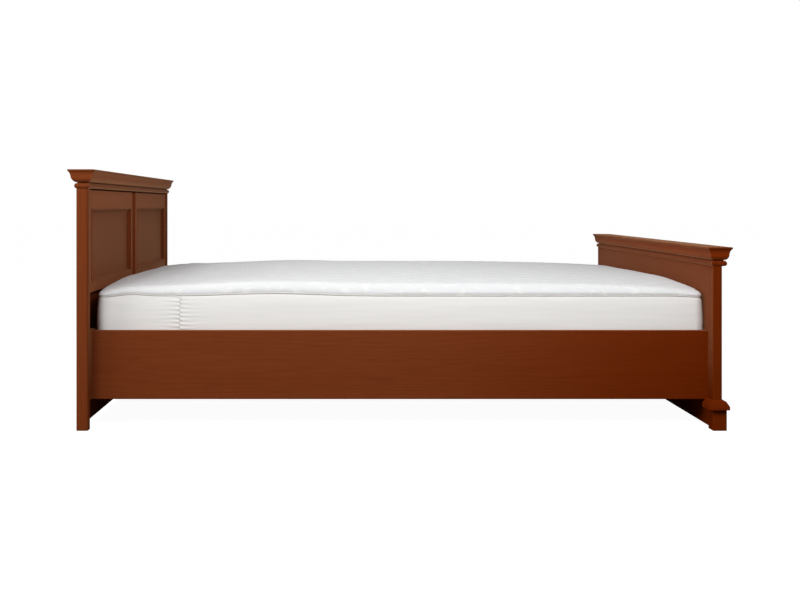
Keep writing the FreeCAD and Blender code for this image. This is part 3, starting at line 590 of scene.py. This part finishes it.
# %% [markdown]
# ## Crown, bead and cap
# Both boards end in the same stack: a shallow half-round bead, a plain groove in deep shadow, an ogee crown
# that is rounded below and hollow above, and a thin cap with a rounded lip. The ogee is two arcs that meet at
# its turning point.

# %% Crown stacks
CROWN_FOOT, TURN_IN, TURN_UP, BELLY, HOLLOW = 2, 6.2, 18.6, 3, 1.2
BEAD_TALL, BEAD_REACH = 17, 5.5
CAP_RADII, CAP_END = (2.5, 2, 2, 2.5), 2


def crown_profile(reach, tall):
    """A short foot, then two arcs, out to the turning point and on to the top edge."""
    turning = (reach - TURN_IN, TURN_UP)
    return profile((0, 0), arc((CROWN_FOOT, 0), turning, BELLY), arc(turning, (reach, tall), -HOLLOW),
                   (reach, tall), (0, tall))


def bead_profile():
    return profile(arc((0, 0), (0, BEAD_TALL), BEAD_REACH, 12), (0, BEAD_TALL))


def crown_stack(prefix, name, crown_nodes):
    core_low, core_high = corners(prefix + "_top_rail")
    bead_low, _ = corners(prefix + "_bead")
    crown_low, crown_high = corners(*crown_nodes)
    reach = (crown_high[0] - core_high[0]) / MM
    tall = (crown_high[2] - crown_low[2]) / MM
    strips = round_core(crown_profile(reach, tall), core_low[:2], core_high[:2], crown_low[2])
    eased(wooden(name + "_crown", crown_nodes, strips, crown_wood_with_painted_light), 0.6)
    strips = round_core(bead_profile(), core_low[:2], core_high[:2], bead_low[2])
    wooden(name + "_bead", [prefix + "_bead"], strips)
    cap = prefix + "_cap"
    wooden(name + "_cap", [cap], [board(*corners(cap), "y", CAP_RADII, CAP_END, face="x")])
    print(name, "crown reaches", round(reach, 2), "mm")


crown_stack("head", "headboard", ["head_crown_front", "head_crown_back", "head_crown_ends"])
crown_stack("foot", "footboard", ["foot_crown_outer", "foot_crown_inner", "foot_crown_ends"])

# %% [markdown]
# ## Footboard and plinth
# The footboard repeats the headboard's frames on its outer face and is plain inside. Its posts stand on plinth
# blocks, and a sloped moulding covers the joint all round, but stops inside at the side rails.

# %% Footboard
for side in ("left", "right"):
    node = "foot_post_" + side
    wooden("footboard_post_" + side, [node], [board(*corners(node), "z", POST_RADII, face="y")])
wooden("footboard_top_rail", ["foot_top_rail"], [grooved_rail("foot")])
wooden("footboard_inner_board", ["foot_inner_board"], [board(*corners("foot_inner_board"), "y", face="x")])
for side in ("left", "right"):
    framed_panel("foot", "footboard", side, ["foot_frame_" + side])


# %% Plinth
PLINTH_REACH = 19


def plinth_profile():
    """Upright edge 11 mm, a slope and a flatter top."""
    return profile((0, 0), (PLINTH_REACH, 0), (PLINTH_REACH, 11), (10, 26), (0, 32))


for side in ("left", "right"):
    node = "plinth_block_" + side
    wooden("plinth_block_of_" + side + "_post", [node], [board(*corners(node), "z", (2, 2, 2, 2), face="y")])
wooden("plinth_front_board", ["plinth_board"], [board(*corners("plinth_board"), "y", face="x")])
moulding_low, moulding_high = corners("plinth_moulding")
core_low = moulding_low[:2] + PLINTH_REACH * MM
core_high = moulding_high[:2] - PLINTH_REACH * MM
(x0, y0), (_, y1) = core_low, core_high
foot = moulding_low[2]
rail_face = corners("side_rail_right")[1][1]
outer, _, near_end, far_end = round_core(plinth_profile(), core_low, core_high, foot)
strips = [outer, near_end, far_end,
          mitred_strip(plinth_profile(), (x0, y0, foot), (x0, -rail_face, foot), -X, Z, (1, 0)),
          mitred_strip(plinth_profile(), (x0, rail_face, foot), (x0, y1, foot), -X, Z, (0, 1))]
eased(wooden("plinth_top_moulding", ["plinth_moulding"], strips), 0.8)

# %% [markdown]
# ## Side rails
# Each rail is one wide board, so it shows the most figure of all: the saw cut it near the middle of the log,
# and the growth rings run out of its face as long arches.

# %% Side rails
for side, radii in (("left", (3, 1, 1, 3)), ("right", (1, 3, 3, 1))):
    node = "side_rail_" + side
    wooden("bed_rail_" + side, [node], [board(*corners(node), "x", radii, 0.5, face="y")])
print("boards in all:", board_count)


# %% [markdown]
# ## What is under the mattress
# The slats, ledges, beam and legs are plain softwood, the angles and screws are zinc plated, and the levelling
# feet are black plastic. Their CAD solids are already the right shape, so they only get materials. These read
# Object coordinates, turned so that the grain runs along each kind of piece.

# %% Plain softwood, zinc and plastic
def plain_softwood(name, order):
    """Softwood whose grain runs along the first of the three object axes in order."""
    material, w, shader = new_material(name)
    place = w.split(object_place(w))
    join = w.tree.nodes.new("ShaderNodeCombineXYZ")
    for socket, letter in zip(join.inputs, order):
        w.set(socket, place["xyz".index(letter)])
    figure = w.group(wood_figure, {
        "Place": join.outputs[0], "Ring pitch": 0.006, "Wood": (0.62, 0.42, 0.22, 1),
        "Dark": (0.42, 0.23, 0.09, 1), "Light": (0.72, 0.54, 0.33, 1), "Contrast": 0.6})
    w.fill(shader, {
        "Base Color": figure["Color"],
        "Roughness": w.ramp(figure["Tone"], 0.0, 1.0, 0.62, 0.72, "LINEAR"),
        "Normal": w.bump(figure["Height"], 0.4, 0.0004)})
    return material


def zinc_plate():
    material, w, shader = new_material("zinc plate")
    place = object_place(w)
    spangle = w.noise(place, 90.0, 3.0, 0.6)
    w.fill(shader, {
        "Base Color": w.mix(spangle, (0.50, 0.51, 0.52, 1), (0.68, 0.69, 0.70, 1)),
        "Roughness": w.ramp(spangle, 0.3, 0.7, 0.30, 0.46),
        "Normal": w.bump(w.noise(place, 600.0), 0.15, 0.0002),
        "Metallic": 1.0})
    return material


def black_plastic():
    material, w, shader = new_material("black plastic")
    speckle = w.noise(object_place(w), 1400.0)
    w.fill(shader, {
        "Base Color": w.mix(speckle, (0.018, 0.018, 0.019, 1), (0.034, 0.034, 0.035, 1)),
        "Roughness": w.ramp(speckle, 0.3, 0.7, 0.48, 0.62),
        "Normal": w.bump(speckle, 0.3, 0.0002)})
    return material


def dress(nodes, material):
    """Gives CAD nodes, whose meshes stay as they are, a better material."""
    for name in nodes:
        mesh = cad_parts[name].data
        mesh.materials.clear()
        mesh.materials.append(material)


dress(["slats"], plain_softwood("softwood along the slats", "yxz"))
dress(["centre_beam", "ledge_left", "ledge_right"], plain_softwood("softwood along the beam", "xyz"))
dress(["centre_leg_head", "centre_leg_foot"], plain_softwood("softwood up the legs", "zxy"))
zinc = zinc_plate()
of_steel = ("rail_bracket", "beam_hanger", "bracket_screws")
dress([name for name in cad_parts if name.startswith(of_steel)], zinc)
dress(["leg_foot_head", "leg_foot_foot"], black_plastic())


# %% [markdown]
# ## Mattress
# A sprung mattress is a firm core in a sewn cover: a quilted top panel, a plain border that bulges a little
# between two piped seams, and a flat underside. It could be one block with a bump map, but then the edge of
# the top would be straight. So the closed cover is worked out with numpy, its seams and its stitch lines are
# pinned, and Blender's cloth solver blows up what is left between them, as the filling does.

# %% Outline of the cover in plan
# The cover bulges towards the headboard, past the CAD solid's flat end.
HEAD_SWELL = 3 * MM
mattress_low, mattress_high = corners("mattress")
mattress_low[0] -= HEAD_SWELL
mattress_middle = (mattress_low + mattress_high) / 2
half_long, half_wide = (mattress_high - mattress_low)[:2] / 2
PLAN_CORNER = 30 * MM


def rounded_plan(x, y, inset):
    """Points of a rectangle, x and y from -1 to 1, drawn in by inset and with its corners rounded.

    In a corner's square, with a and b the shares of the way across it, they become a sqrt(1 - b^2 / 2)
    and b sqrt(1 - a^2 / 2), which turns the square into a quarter disc and keeps the grid lines smooth.
    """
    radius = PLAN_CORNER - inset
    core_x, core_y = half_long - PLAN_CORNER, half_wide - PLAN_CORNER
    x, y = x * (half_long - inset), y * (half_wide - inset)
    a = np.clip((np.abs(x) - core_x) / radius, 0, 1)
    b = np.clip((np.abs(y) - core_y) / radius, 0, 1)
    corner = a * b > 0
    new_x = np.where(corner, np.sign(x) * (core_x + radius * a * np.sqrt(1 - b * b / 2)), x)
    new_y = np.where(corner, np.sign(y) * (core_y + radius * b * np.sqrt(1 - a * a / 2)), y)
    return new_x, new_y


# %% Section of the cover
# Distance in from the widest line and height over the underside, in mm, from the top panel's foot down.
COVER_SECTION = np.array([
    (9.5, 199), (5.5, 192), (4.2, 186), (6.0, 180), (10.5, 175.5), (6.2, 171), (4.4, 164), (3.0, 150),
    (1.8, 132), (0.9, 110), (0.5, 88), (0.9, 66), (1.8, 44), (3.2, 26), (5, 16), (8, 12), (5, 9), (7, 4.5),
    (14, 1.0), (26, 0)]) * MM
UPPER_SEAM, LOWER_SEAM = 4, 15
PANEL_INSET, PANEL_FOOT = COVER_SECTION[0]
CROWN_TOP = 236.0 * MM
SHOULDER_IN, SHOULDER_UP = 70 * MM, 15 * MM


def crown_height(x, y):
    """Height of the top panel over its own edge.

    For each way across, u = distance from the edge / 70 mm gives a shoulder sqrt(1 - (1 - u)^2) up to u = 1,
    and a parabola goes on from there to the middle. The two ways are multiplied.
    """
    total = CROWN_TOP - PANEL_FOOT
    share = SHOULDER_UP / total
    ways = 1.0
    for place, half in ((x, half_long - PANEL_INSET), (y, half_wide - PANEL_INSET)):
        inside = np.clip(half - np.abs(place), 0, None)
        u = np.clip(inside / SHOULDER_IN, 0, 1)
        on = np.clip((inside - SHOULDER_IN) / (half_wide - SHOULDER_IN), 0, 1)
        ways = ways * (share * np.sqrt(1 - (1 - u) ** 2) + (1 - share) * (1 - (1 - on) ** 2))
    return total * ways


SEAM_RISES_X = ((-0.88, 6.0, 0.05), (-0.42, 9.5, 0.20))
SEAM_RISES_Y = ((-0.35, 5.0, 0.17), (0.30, -4.0, 0.20))
SEAM_LEVEL, CORNER_DIP, CORNER_REACH = -3.0, 5.5, 60 * MM
CORNER_THINNING, THINNING_REACH = 0.55, 130 * MM
WAVE_REACH = 120 * MM


def from_corner(x, y):
    return np.hypot(half_long - np.abs(x), half_wide - np.abs(y))


def edge_wave(x, y):
    """How far the hand-sewn upper edge wanders up or down, in metres.

    Bell curves h exp(-((x - c) / w)^2), given as (c, h in mm, w), and a dip at each corner.
    """
    wave = SEAM_LEVEL + 0 * (x + y)
    for c, h, w in SEAM_RISES_X:
        wave = wave + h * np.exp(-((x - c) / w) ** 2)
    for c, h, w in SEAM_RISES_Y:
        wave = wave + h * np.exp(-((y - c) / w) ** 2)
    return (wave - CORNER_DIP * np.exp(-(from_corner(x, y) / CORNER_REACH) ** 2)) * MM


def thinned(height, x, y):
    """A height on the top panel's edge, brought nearer to the seam below it towards each corner."""
    seam = COVER_SECTION[UPPER_SEAM, 1]
    over = np.clip(height - seam, 0, None)
    return height - CORNER_THINNING * over * np.exp(-from_corner(x, y) / THINNING_REACH)


# %% The closed cover
COLUMNS = 225
STITCH_LINES = 32
ROWS_BETWEEN = 5
ONION_LENGTH, ONION_SWING = 112 * MM, 11 * MM
PUFF = 2.2 * MM
UNDERSIDE_SCALES = (0.93, 0.80, 0.65, 0.5, 0.35, 0.2, 0.1)
JOIN_COLUMN = 31
JOIN_OPPOSITE = COLUMNS - 1 + STITCH_LINES * ROWS_BETWEEN + JOIN_COLUMN
JOIN_SHARE = JOIN_COLUMN / (COLUMNS - 1) * 2 - 1


def quilted_top():
    """Grid of the top panel as (x, y, z over the underside, share sewn down), each columns by rows.

    Every fifth row is a stitch line. Line k swings by 11 mm (-1)^k sin(2 pi x / 112 mm), so neighbours part
    and meet like the outline of a row of onions, and the rows between them follow with cos(pi k). The
    filling stands up between the lines by 2.2 mm |sin(pi k)| times their distance over its mean.
    """
    rows = STITCH_LINES * ROWS_BETWEEN + 1
    line = np.arange(rows)[None, :] / ROWS_BETWEEN
    share_x = np.linspace(-1, 1, COLUMNS)[:, None] + 0 * line
    share_y = line / STITCH_LINES * 2 - 1 + 0 * share_x
    spacing = 2 * (half_wide - PANEL_INSET) / STITCH_LINES
    from_edge = np.minimum(line, STITCH_LINES - line)
    from_end = (1 - np.abs(share_x)) * half_long / spacing
    calm = np.clip(from_edge / 2, 0, 1) * np.clip(from_end / 2, 0, 1)
    turn = np.sin(2 * pi * share_x * half_long / ONION_LENGTH)
    swing = ONION_SWING * turn * np.cos(pi * line) * calm
    x, y = rounded_plan(share_x, share_y, PANEL_INSET)
    parting = 1 - calm * 2 * ONION_SWING / spacing * turn * np.where(np.floor(line) % 2 == 0, 1, -1)
    puff = PUFF * np.abs(np.sin(pi * line)) * parting
    inside = np.minimum(half_long - np.abs(x), half_wide - np.abs(y))
    z = thinned(PANEL_FOOT, x, y) + crown_height(x, y) + puff
    z += edge_wave(x, y) * np.exp(-np.clip(inside, 0, None) / WAVE_REACH)
    row = np.arange(rows)
    sewn = np.broadcast_to((row % ROWS_BETWEEN == 0) & (row > 0) & (row < rows - 1), x.shape)
    return x, y + swing, z, sewn


def grid_edge(columns, rows):
    """Numbers of a grid's edge points, counterclockwise as seen from above. Point (i, j) is i * rows + j."""
    i, j = np.arange(columns), np.arange(rows)
    last = (columns - 1) * rows
    return np.concatenate([i * rows, last + j[1:], i[-2::-1] * rows + rows - 1, j[-2:0:-1]])


def closed_cover():
    """Points, faces, which points are sewn down and how many faces the top panel has.

    The top is a grid, and rings of points go down from its edge. Across the underside each further ring keeps
    every other point, with five-sided faces between, so 768 points come down to one hexagon in seven rings.
    """
    x, y, z, sewn = quilted_top()
    columns, rows = x.shape
    edge = grid_edge(columns, rows)
    share_x = np.repeat(np.linspace(-1, 1, columns), rows)[edge]
    share_y = np.tile(np.linspace(-1, 1, rows), columns)[edge]
    rings = []
    for inset, height in COVER_SECTION[1:]:
        ring_x, ring_y = rounded_plan(share_x, share_y, inset)
        reach = np.clip(height / PANEL_FOOT, 0, 1)
        rings.append((ring_x, ring_y, thinned(height, ring_x, ring_y) + reach * edge_wave(ring_x, ring_y)))
    rings = np.stack(rings).transpose(0, 2, 1)
    held = np.zeros(rings.shape[:2], dtype=bool)
    held[[UPPER_SEAM - 1, LOWER_SEAM - 1]] = True
    held[LOWER_SEAM:] = True
    held[UPPER_SEAM:LOWER_SEAM, [JOIN_COLUMN, JOIN_OPPOSITE]] = True
    i, j = np.meshgrid(np.arange(columns - 1), np.arange(rows - 1), indexing="ij")
    corner = i * rows + j
    top = np.stack([corner, corner + rows, corner + rows + 1, corner + 1], axis=-1).reshape(-1, 4)
    above = np.concatenate([edge[None, :], x.size + np.arange(held.size).reshape(held.shape)])
    ahead = np.roll(above, -1, axis=1)
    sides = np.stack([above[:-1], above[1:], ahead[1:], ahead[:-1]], axis=-1).reshape(-1, 4)
    faces = top.tolist() + sides.tolist()
    parts = [np.stack([x, y, z], axis=-1).reshape(-1, 3), rings.reshape(-1, 3)]
    outer, ring, start = above[-1], rings[-1], x.size + held.size
    for scale in UNDERSIDE_SCALES:
        ring = ring[::2]
        inner = start + np.arange(len(ring))
        parts.append(ring * (scale, scale, 1))
        faces += np.stack([outer[0::2], inner, np.roll(inner, -1), np.roll(outer, -2)[0::2], outer[1::2]],
                          axis=-1).tolist()
        outer, start = inner, start + len(ring)
    faces.append(outer[::-1].tolist())
    points = np.concatenate(parts)
    beneath = np.ones(len(points) - x.size - held.size, dtype=bool)
    pinned = np.concatenate([sewn.ravel(), held.ravel(), beneath])
    points += np.append(mattress_middle[:2], mattress_low[2])
    return points, faces, pinned, len(top) + UPPER_SEAM * len(edge)


cover_points, cover_faces, cover_pinned, panel_faces = closed_cover()
print("cover", len(cover_points), "points,", int(cover_pinned.sum()), "of them sewn down")


# %% The filling pushes the cover out
PRESSURE = 4.0
LAST_FRAME = 20
PANEL_CAP, BORDER_CAP = 7 * MM, 0.9 * MM
PANEL_OVER_SEAM = 8 * MM


def coordinates(mesh):
    flat = np.empty(len(mesh.vertices) * 3)
    mesh.vertices.foreach_get("co", flat)
    return flat.reshape(-1, 3)


def blow_up(piece, sewn, caps):
    """Lets the cloth solver swell a closed piece, then writes the swollen shape back as its mesh.

    A point that moved by d goes cap tanh(d / cap), so it never leaves the room that it has.
    """
    scene = bpy.context.scene
    rest = coordinates(piece.data)
    group = piece.vertex_groups.new(name="sewn down")
    group.add(np.flatnonzero(sewn).tolist(), 1.0, "REPLACE")
    cloth = piece.modifiers.new("filling", "CLOTH")
    cloth.settings.vertex_group_mass = group.name
    cloth.settings.use_pressure = True
    cloth.settings.uniform_pressure_force = PRESSURE
    cloth.settings.effector_weights.gravity = 0
    for number in range(1, LAST_FRAME + 1):
        scene.frame_set(number)
    swollen = piece.evaluated_get(bpy.context.evaluated_depsgraph_get())
    moved = coordinates(swollen.data) - rest
    far = np.maximum(np.linalg.norm(moved, axis=1), 1e-9)
    piece.modifiers.remove(cloth)
    piece.vertex_groups.remove(group)
    scene.frame_set(1)
    kept = rest + moved * (caps * np.tanh(far / caps) / far)[:, None]
    piece.data.vertices.foreach_set("co", kept.ravel())
    piece.data.update()
    print("the filling moved the cover by", round(float(far.max()) / MM, 1), "mm at most")


# %% Ticking and tape
def ticking_panel():
    """Cool white knitted ticking with a faint woven figure of short flecks."""
    material, w, shader = new_material("quilted ticking")
    place = object_place(w)
    weave = w.noise(w.vector("MULTIPLY", place, (1.0, 1.6, 1.0)), 800.0)
    fleck = w.ramp(w.figure(place, (24.0, 62.0, 24.0), 2.0, 0.55), 0.52, 0.66)
    shade = w.mix(fleck, (0.76, 0.765, 0.77, 1), (0.82, 0.82, 0.82, 1))
    relief = w.math("ADD", w.math("MULTIPLY", weave, 0.0003), w.math("MULTIPLY", fleck, 0.0011))
    w.fill(shader, {
        "Base Color": w.mix(w.math("MULTIPLY", weave, 0.12), shade, (0.60, 0.60, 0.61, 1)),
        "Roughness": w.ramp(weave, 0.3, 0.7, 0.80, 0.95),
        "Normal": w.bump(relief, 0.8, 1.0),
        "Specular IOR Level": 0.2})
    return material


PUCKER_HEIGHT, PUCKER_PITCH, PUCKER_REACH = 0.0011, 0.0135, 0.024


def ticking_border(join_x):
    """Plain warm white ticking with soft creases along it, and puckers on both sides of the two joins.

    The joins stand at x = join_x on the near side and opposite it on the far one. A pucker has the height
    exp(-distance / 24 mm) sin(2 pi z / 13.5 mm), bent by noise.
    """
    material, w, shader = new_material("border ticking")
    place = object_place(w)
    x, y, z = w.split(w.vector("SUBTRACT", place, tuple(mattress_middle)))
    across = w.math("SUBTRACT", x, w.math("MULTIPLY", w.math("SIGN", y), -join_x))
    reach = w.math("EXPONENT", w.math("DIVIDE", w.math("ABSOLUTE", across), -PUCKER_REACH))
    bend = w.math("MULTIPLY", w.figure(place, (9.0, 9.0, 22.0), 1.0), 9.0)
    turn = w.math("ADD", w.math("MULTIPLY", z, 2 * pi / PUCKER_PITCH), bend)
    turn = w.math("ADD", turn, w.math("MULTIPLY", w.math("SIGN", across), 1.3))
    puckers = w.math("MULTIPLY", w.math("MULTIPLY", w.math("SINE", turn), reach), PUCKER_HEIGHT)
    crease = w.figure(place, (3.0, 3.0, 26.0))
    weave = w.noise(place, 900.0)
    # The creases are painted a little darker where they sink: painted shade beside their bump.
    shade = w.mix(crease, (0.760, 0.745, 0.722, 1), (0.790, 0.780, 0.764, 1))
    relief = w.math("ADD", puckers, w.math("MULTIPLY", crease, 0.0022))
    relief = w.math("ADD", relief, w.math("MULTIPLY", weave, 0.0002))
    w.fill(shader, {
        "Base Color": w.mix(w.math("MULTIPLY", weave, 0.10), shade, (0.62, 0.60, 0.57, 1)),
        "Roughness": w.ramp(weave, 0.3, 0.7, 0.80, 0.95),
        "Normal": w.bump(relief, 1.0, 1.0),
        "Specular IOR Level": 0.2})
    return material


RIB_PITCH = 0.0016


def piping_tape():
    """Bias-cut tape wrapped round a cord: fine ribs that climb round it as they run along."""
    material, w, shader = new_material("piping tape")
    along, around, _ = w.split(attribute(w, "grain"))
    turn = w.math("MULTIPLY", w.math("ADD", along, around), 2 * pi / RIB_PITCH)
    rib = w.math("MULTIPLY_ADD", w.math("SINE", turn), 0.5, 0.5)
    w.fill(shader, {
        "Base Color": w.mix(rib, (0.56, 0.53, 0.49, 1), (0.66, 0.63, 0.59, 1)),
        "Roughness": w.ramp(rib, 0.0, 1.0, 0.85, 0.72, "LINEAR"),
        "Normal": w.bump(rib, 0.5, 0.0003),
        "Specular IOR Level": 0.25})
    return material


# %% Mattress cover
def mattress_cover():
    mesh = bpy.data.meshes.new("mattress_cover")
    mesh.from_pydata(cover_points, [], cover_faces)
    mesh.polygons.foreach_set("use_smooth", np.ones(len(mesh.polygons), dtype=bool))
    mesh.materials.append(ticking_panel())
    mesh.materials.append(ticking_border(JOIN_SHARE * half_long))
    on_border = np.arange(len(mesh.polygons)) >= panel_faces
    mesh.polygons.foreach_set("material_index", on_border.astype(np.int32))
    piece = in_scene("mattress_cover", mesh)
    high_up = cover_points[:, 2] - mattress_low[2] > COVER_SECTION[UPPER_SEAM, 1] + PANEL_OVER_SEAM
    blow_up(piece, cover_pinned, np.where(high_up, PANEL_CAP, BORDER_CAP))
    smooth = piece.modifiers.new("smooth", "SUBSURF")
    smooth.levels = smooth.render_levels = 1
    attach(piece, "mattress")
    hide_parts("mattress")
    return piece


mattress_cover()


# %% Piping and joins
def tube(path, outward, radius, sides, closed):
    """A round cord along a path: point + radius (cos a outward + sin a (outward x way))."""
    way = np.roll(path, -1, axis=0) - np.roll(path, 1, axis=0) if closed else np.gradient(path, axis=0)
    way = way / np.linalg.norm(way, axis=1, keepdims=True)
    outward = outward - np.sum(outward * way, axis=1, keepdims=True) * way
    outward = outward / np.linalg.norm(outward, axis=1, keepdims=True)
    third = np.cross(outward, way)
    a = np.arange(sides) / sides * 2 * pi
    round_it = np.cos(a)[:, None] * outward[:, None] + np.sin(a)[:, None] * third[:, None]
    points = path[:, None] + radius * round_it
    along = np.concatenate([[0], np.cumsum(np.linalg.norm(np.diff(path, axis=0), axis=1))])
    grain = np.stack(np.broadcast_arrays(along[:, None], radius * a[None, :], 0.0), axis=-1)
    faces = ring_faces(len(path), sides)
    if closed:
        last = (len(path) - 1) * sides
        j = np.arange(sides)
        ahead = (j + 1) % sides
        faces = faces[:-2] + np.stack([last + j, last + ahead, ahead, j], axis=-1).tolist()
    faces = [face[::-1] for face in faces]
    return points.reshape(-1, 3), faces, grain.reshape(-1, 3)


PIPING_RADIUS, PIPING_SIDES = 2.2 * MM, 8
JOIN_RADIUS, JOIN_SIDES, JOIN_WANDER, JOIN_STEPS = 0.9 * MM, 6, 0.7 * MM, 60
tape = piping_tape()
edge_size = 2 * (COLUMNS + STITCH_LINES * ROWS_BETWEEN + 1) - 4
first_ring = COLUMNS * (STITCH_LINES * ROWS_BETWEEN + 1)


def ring_points(number):
    """The cover's points along line number of its section."""
    start = first_ring + (number - 1) * edge_size
    return cover_points[start:start + edge_size]


for name, seam in (("upper", UPPER_SEAM), ("lower", LOWER_SEAM)):
    path = ring_points(seam).copy()
    way = np.roll(path, -1, axis=0) - np.roll(path, 1, axis=0)
    outward = np.stack([way[:, 1], -way[:, 0], 0 * way[:, 0]], axis=-1)
    outward /= np.linalg.norm(outward, axis=1, keepdims=True)
    path += outward * PIPING_RADIUS
    build("mattress_piping_" + name, [tube(path, outward, PIPING_RADIUS, PIPING_SIDES, True)], tape,
          "mattress", NEVER_SHARP)
for name, spot, out in (("near", JOIN_COLUMN, -Y), ("far", JOIN_OPPOSITE, Y)):
    down = np.stack([ring_points(number)[spot] for number in range(UPPER_SEAM, LOWER_SEAM + 1)])
    fine = np.linspace(0, len(down) - 1, JOIN_STEPS + 1)
    path = np.stack([np.interp(fine, np.arange(len(down)), down[:, axis]) for axis in range(3)], axis=-1)
    path[:, 0] += JOIN_WANDER * np.sin(2 * pi * path[:, 2] / PUCKER_PITCH)
    outward = np.tile(out, (len(path), 1))
    build("mattress_join_" + name, [tube(path, outward, JOIN_RADIUS, JOIN_SIDES, False)], tape,
          "mattress", NEVER_SHARP)

# %% [markdown]
# ## Light and ground
# The photograph has a plain white ground and soft even light, a little stronger from the upper left. A white
# floor and a white world give the ground. The world is bright only where the camera and the gloss look at
# it, and five soft lamps do the rest.

# %% Light and ground
WORLD_FILL, FLOOR_GLOW = 0.16, 0.96
FLOOR_REACH = 60.0


def looked_at(w):
    """1 for rays of the camera, the gloss and transmission, 0 for light that only bounces about."""
    path = w.tree.nodes.new("ShaderNodeLightPath").outputs
    return w.math("MAXIMUM", path["Is Camera Ray"],
                  w.math("MAXIMUM", path["Is Glossy Ray"], path["Is Transmission Ray"]))


def world_light():
    world = bpy.data.worlds.new("studio")
    bpy.context.scene.world = world
    world.use_nodes = True
    w = Wires(world.node_tree)
    background = world.node_tree.nodes["Background"].inputs
    w.fill(background, {
        "Color": (1, 1, 1, 1), "Strength": w.ramp(looked_at(w), 0.0, 1.0, WORLD_FILL, 1.0, "LINEAR")})


world_light()


def soft_box(name, place, aim, size, power):
    """A square lamp at place that points at aim."""
    light = bpy.data.lights.new(name, "AREA")
    light.shape = "SQUARE"
    light.size = size
    light.energy = power
    lamp = in_scene(name, light)
    lamp.location = place
    way = np.array(aim, float) - np.array(place, float)
    lamp.rotation_euler = mathutils.Vector(way).to_track_quat("-Z", "Y").to_euler()


soft_box("key", (-1.9, -3.0, 2.0), (-0.4, -0.8, 0.4), 1.2, 36)
soft_box("front", (0.6, -2.6, 1.7), (0.2, -0.8, 0.4), 1.0, 36)
soft_box("side", (-3.2, -1.8, 1.8), (0.0, -0.4, 0.5), 1.5, 52)
soft_box("over the headboard", (-1.8, 0.2, 2.6), (0.9, -0.4, 0.5), 1.2, 18)
soft_box("top", (0.3, 2.0, 3.6), (0, 0, 0.3), 3.0, 26)


def ground():
    mesh = bpy.data.meshes.new("floor")
    square = FLOOR_REACH * np.array([(-1, -1, 0), (1, -1, 0), (1, 1, 0), (-1, 1, 0)])
    mesh.from_pydata(square, [], [[0, 1, 2, 3]])
    floor = in_scene("floor", mesh)
    material, w, shader = new_material("white floor")
    w.fill(shader, {
        "Base Color": (0.22, 0.22, 0.22, 1), "Roughness": 1.0, "Specular IOR Level": 0.0,
        "Emission Color": (1, 1, 1, 1), "Emission Strength": w.math("MULTIPLY", looked_at(w), FLOOR_GLOW)})
    mesh.materials.append(material)


ground()
bpy.context.scene.view_settings.view_transform = "Standard"
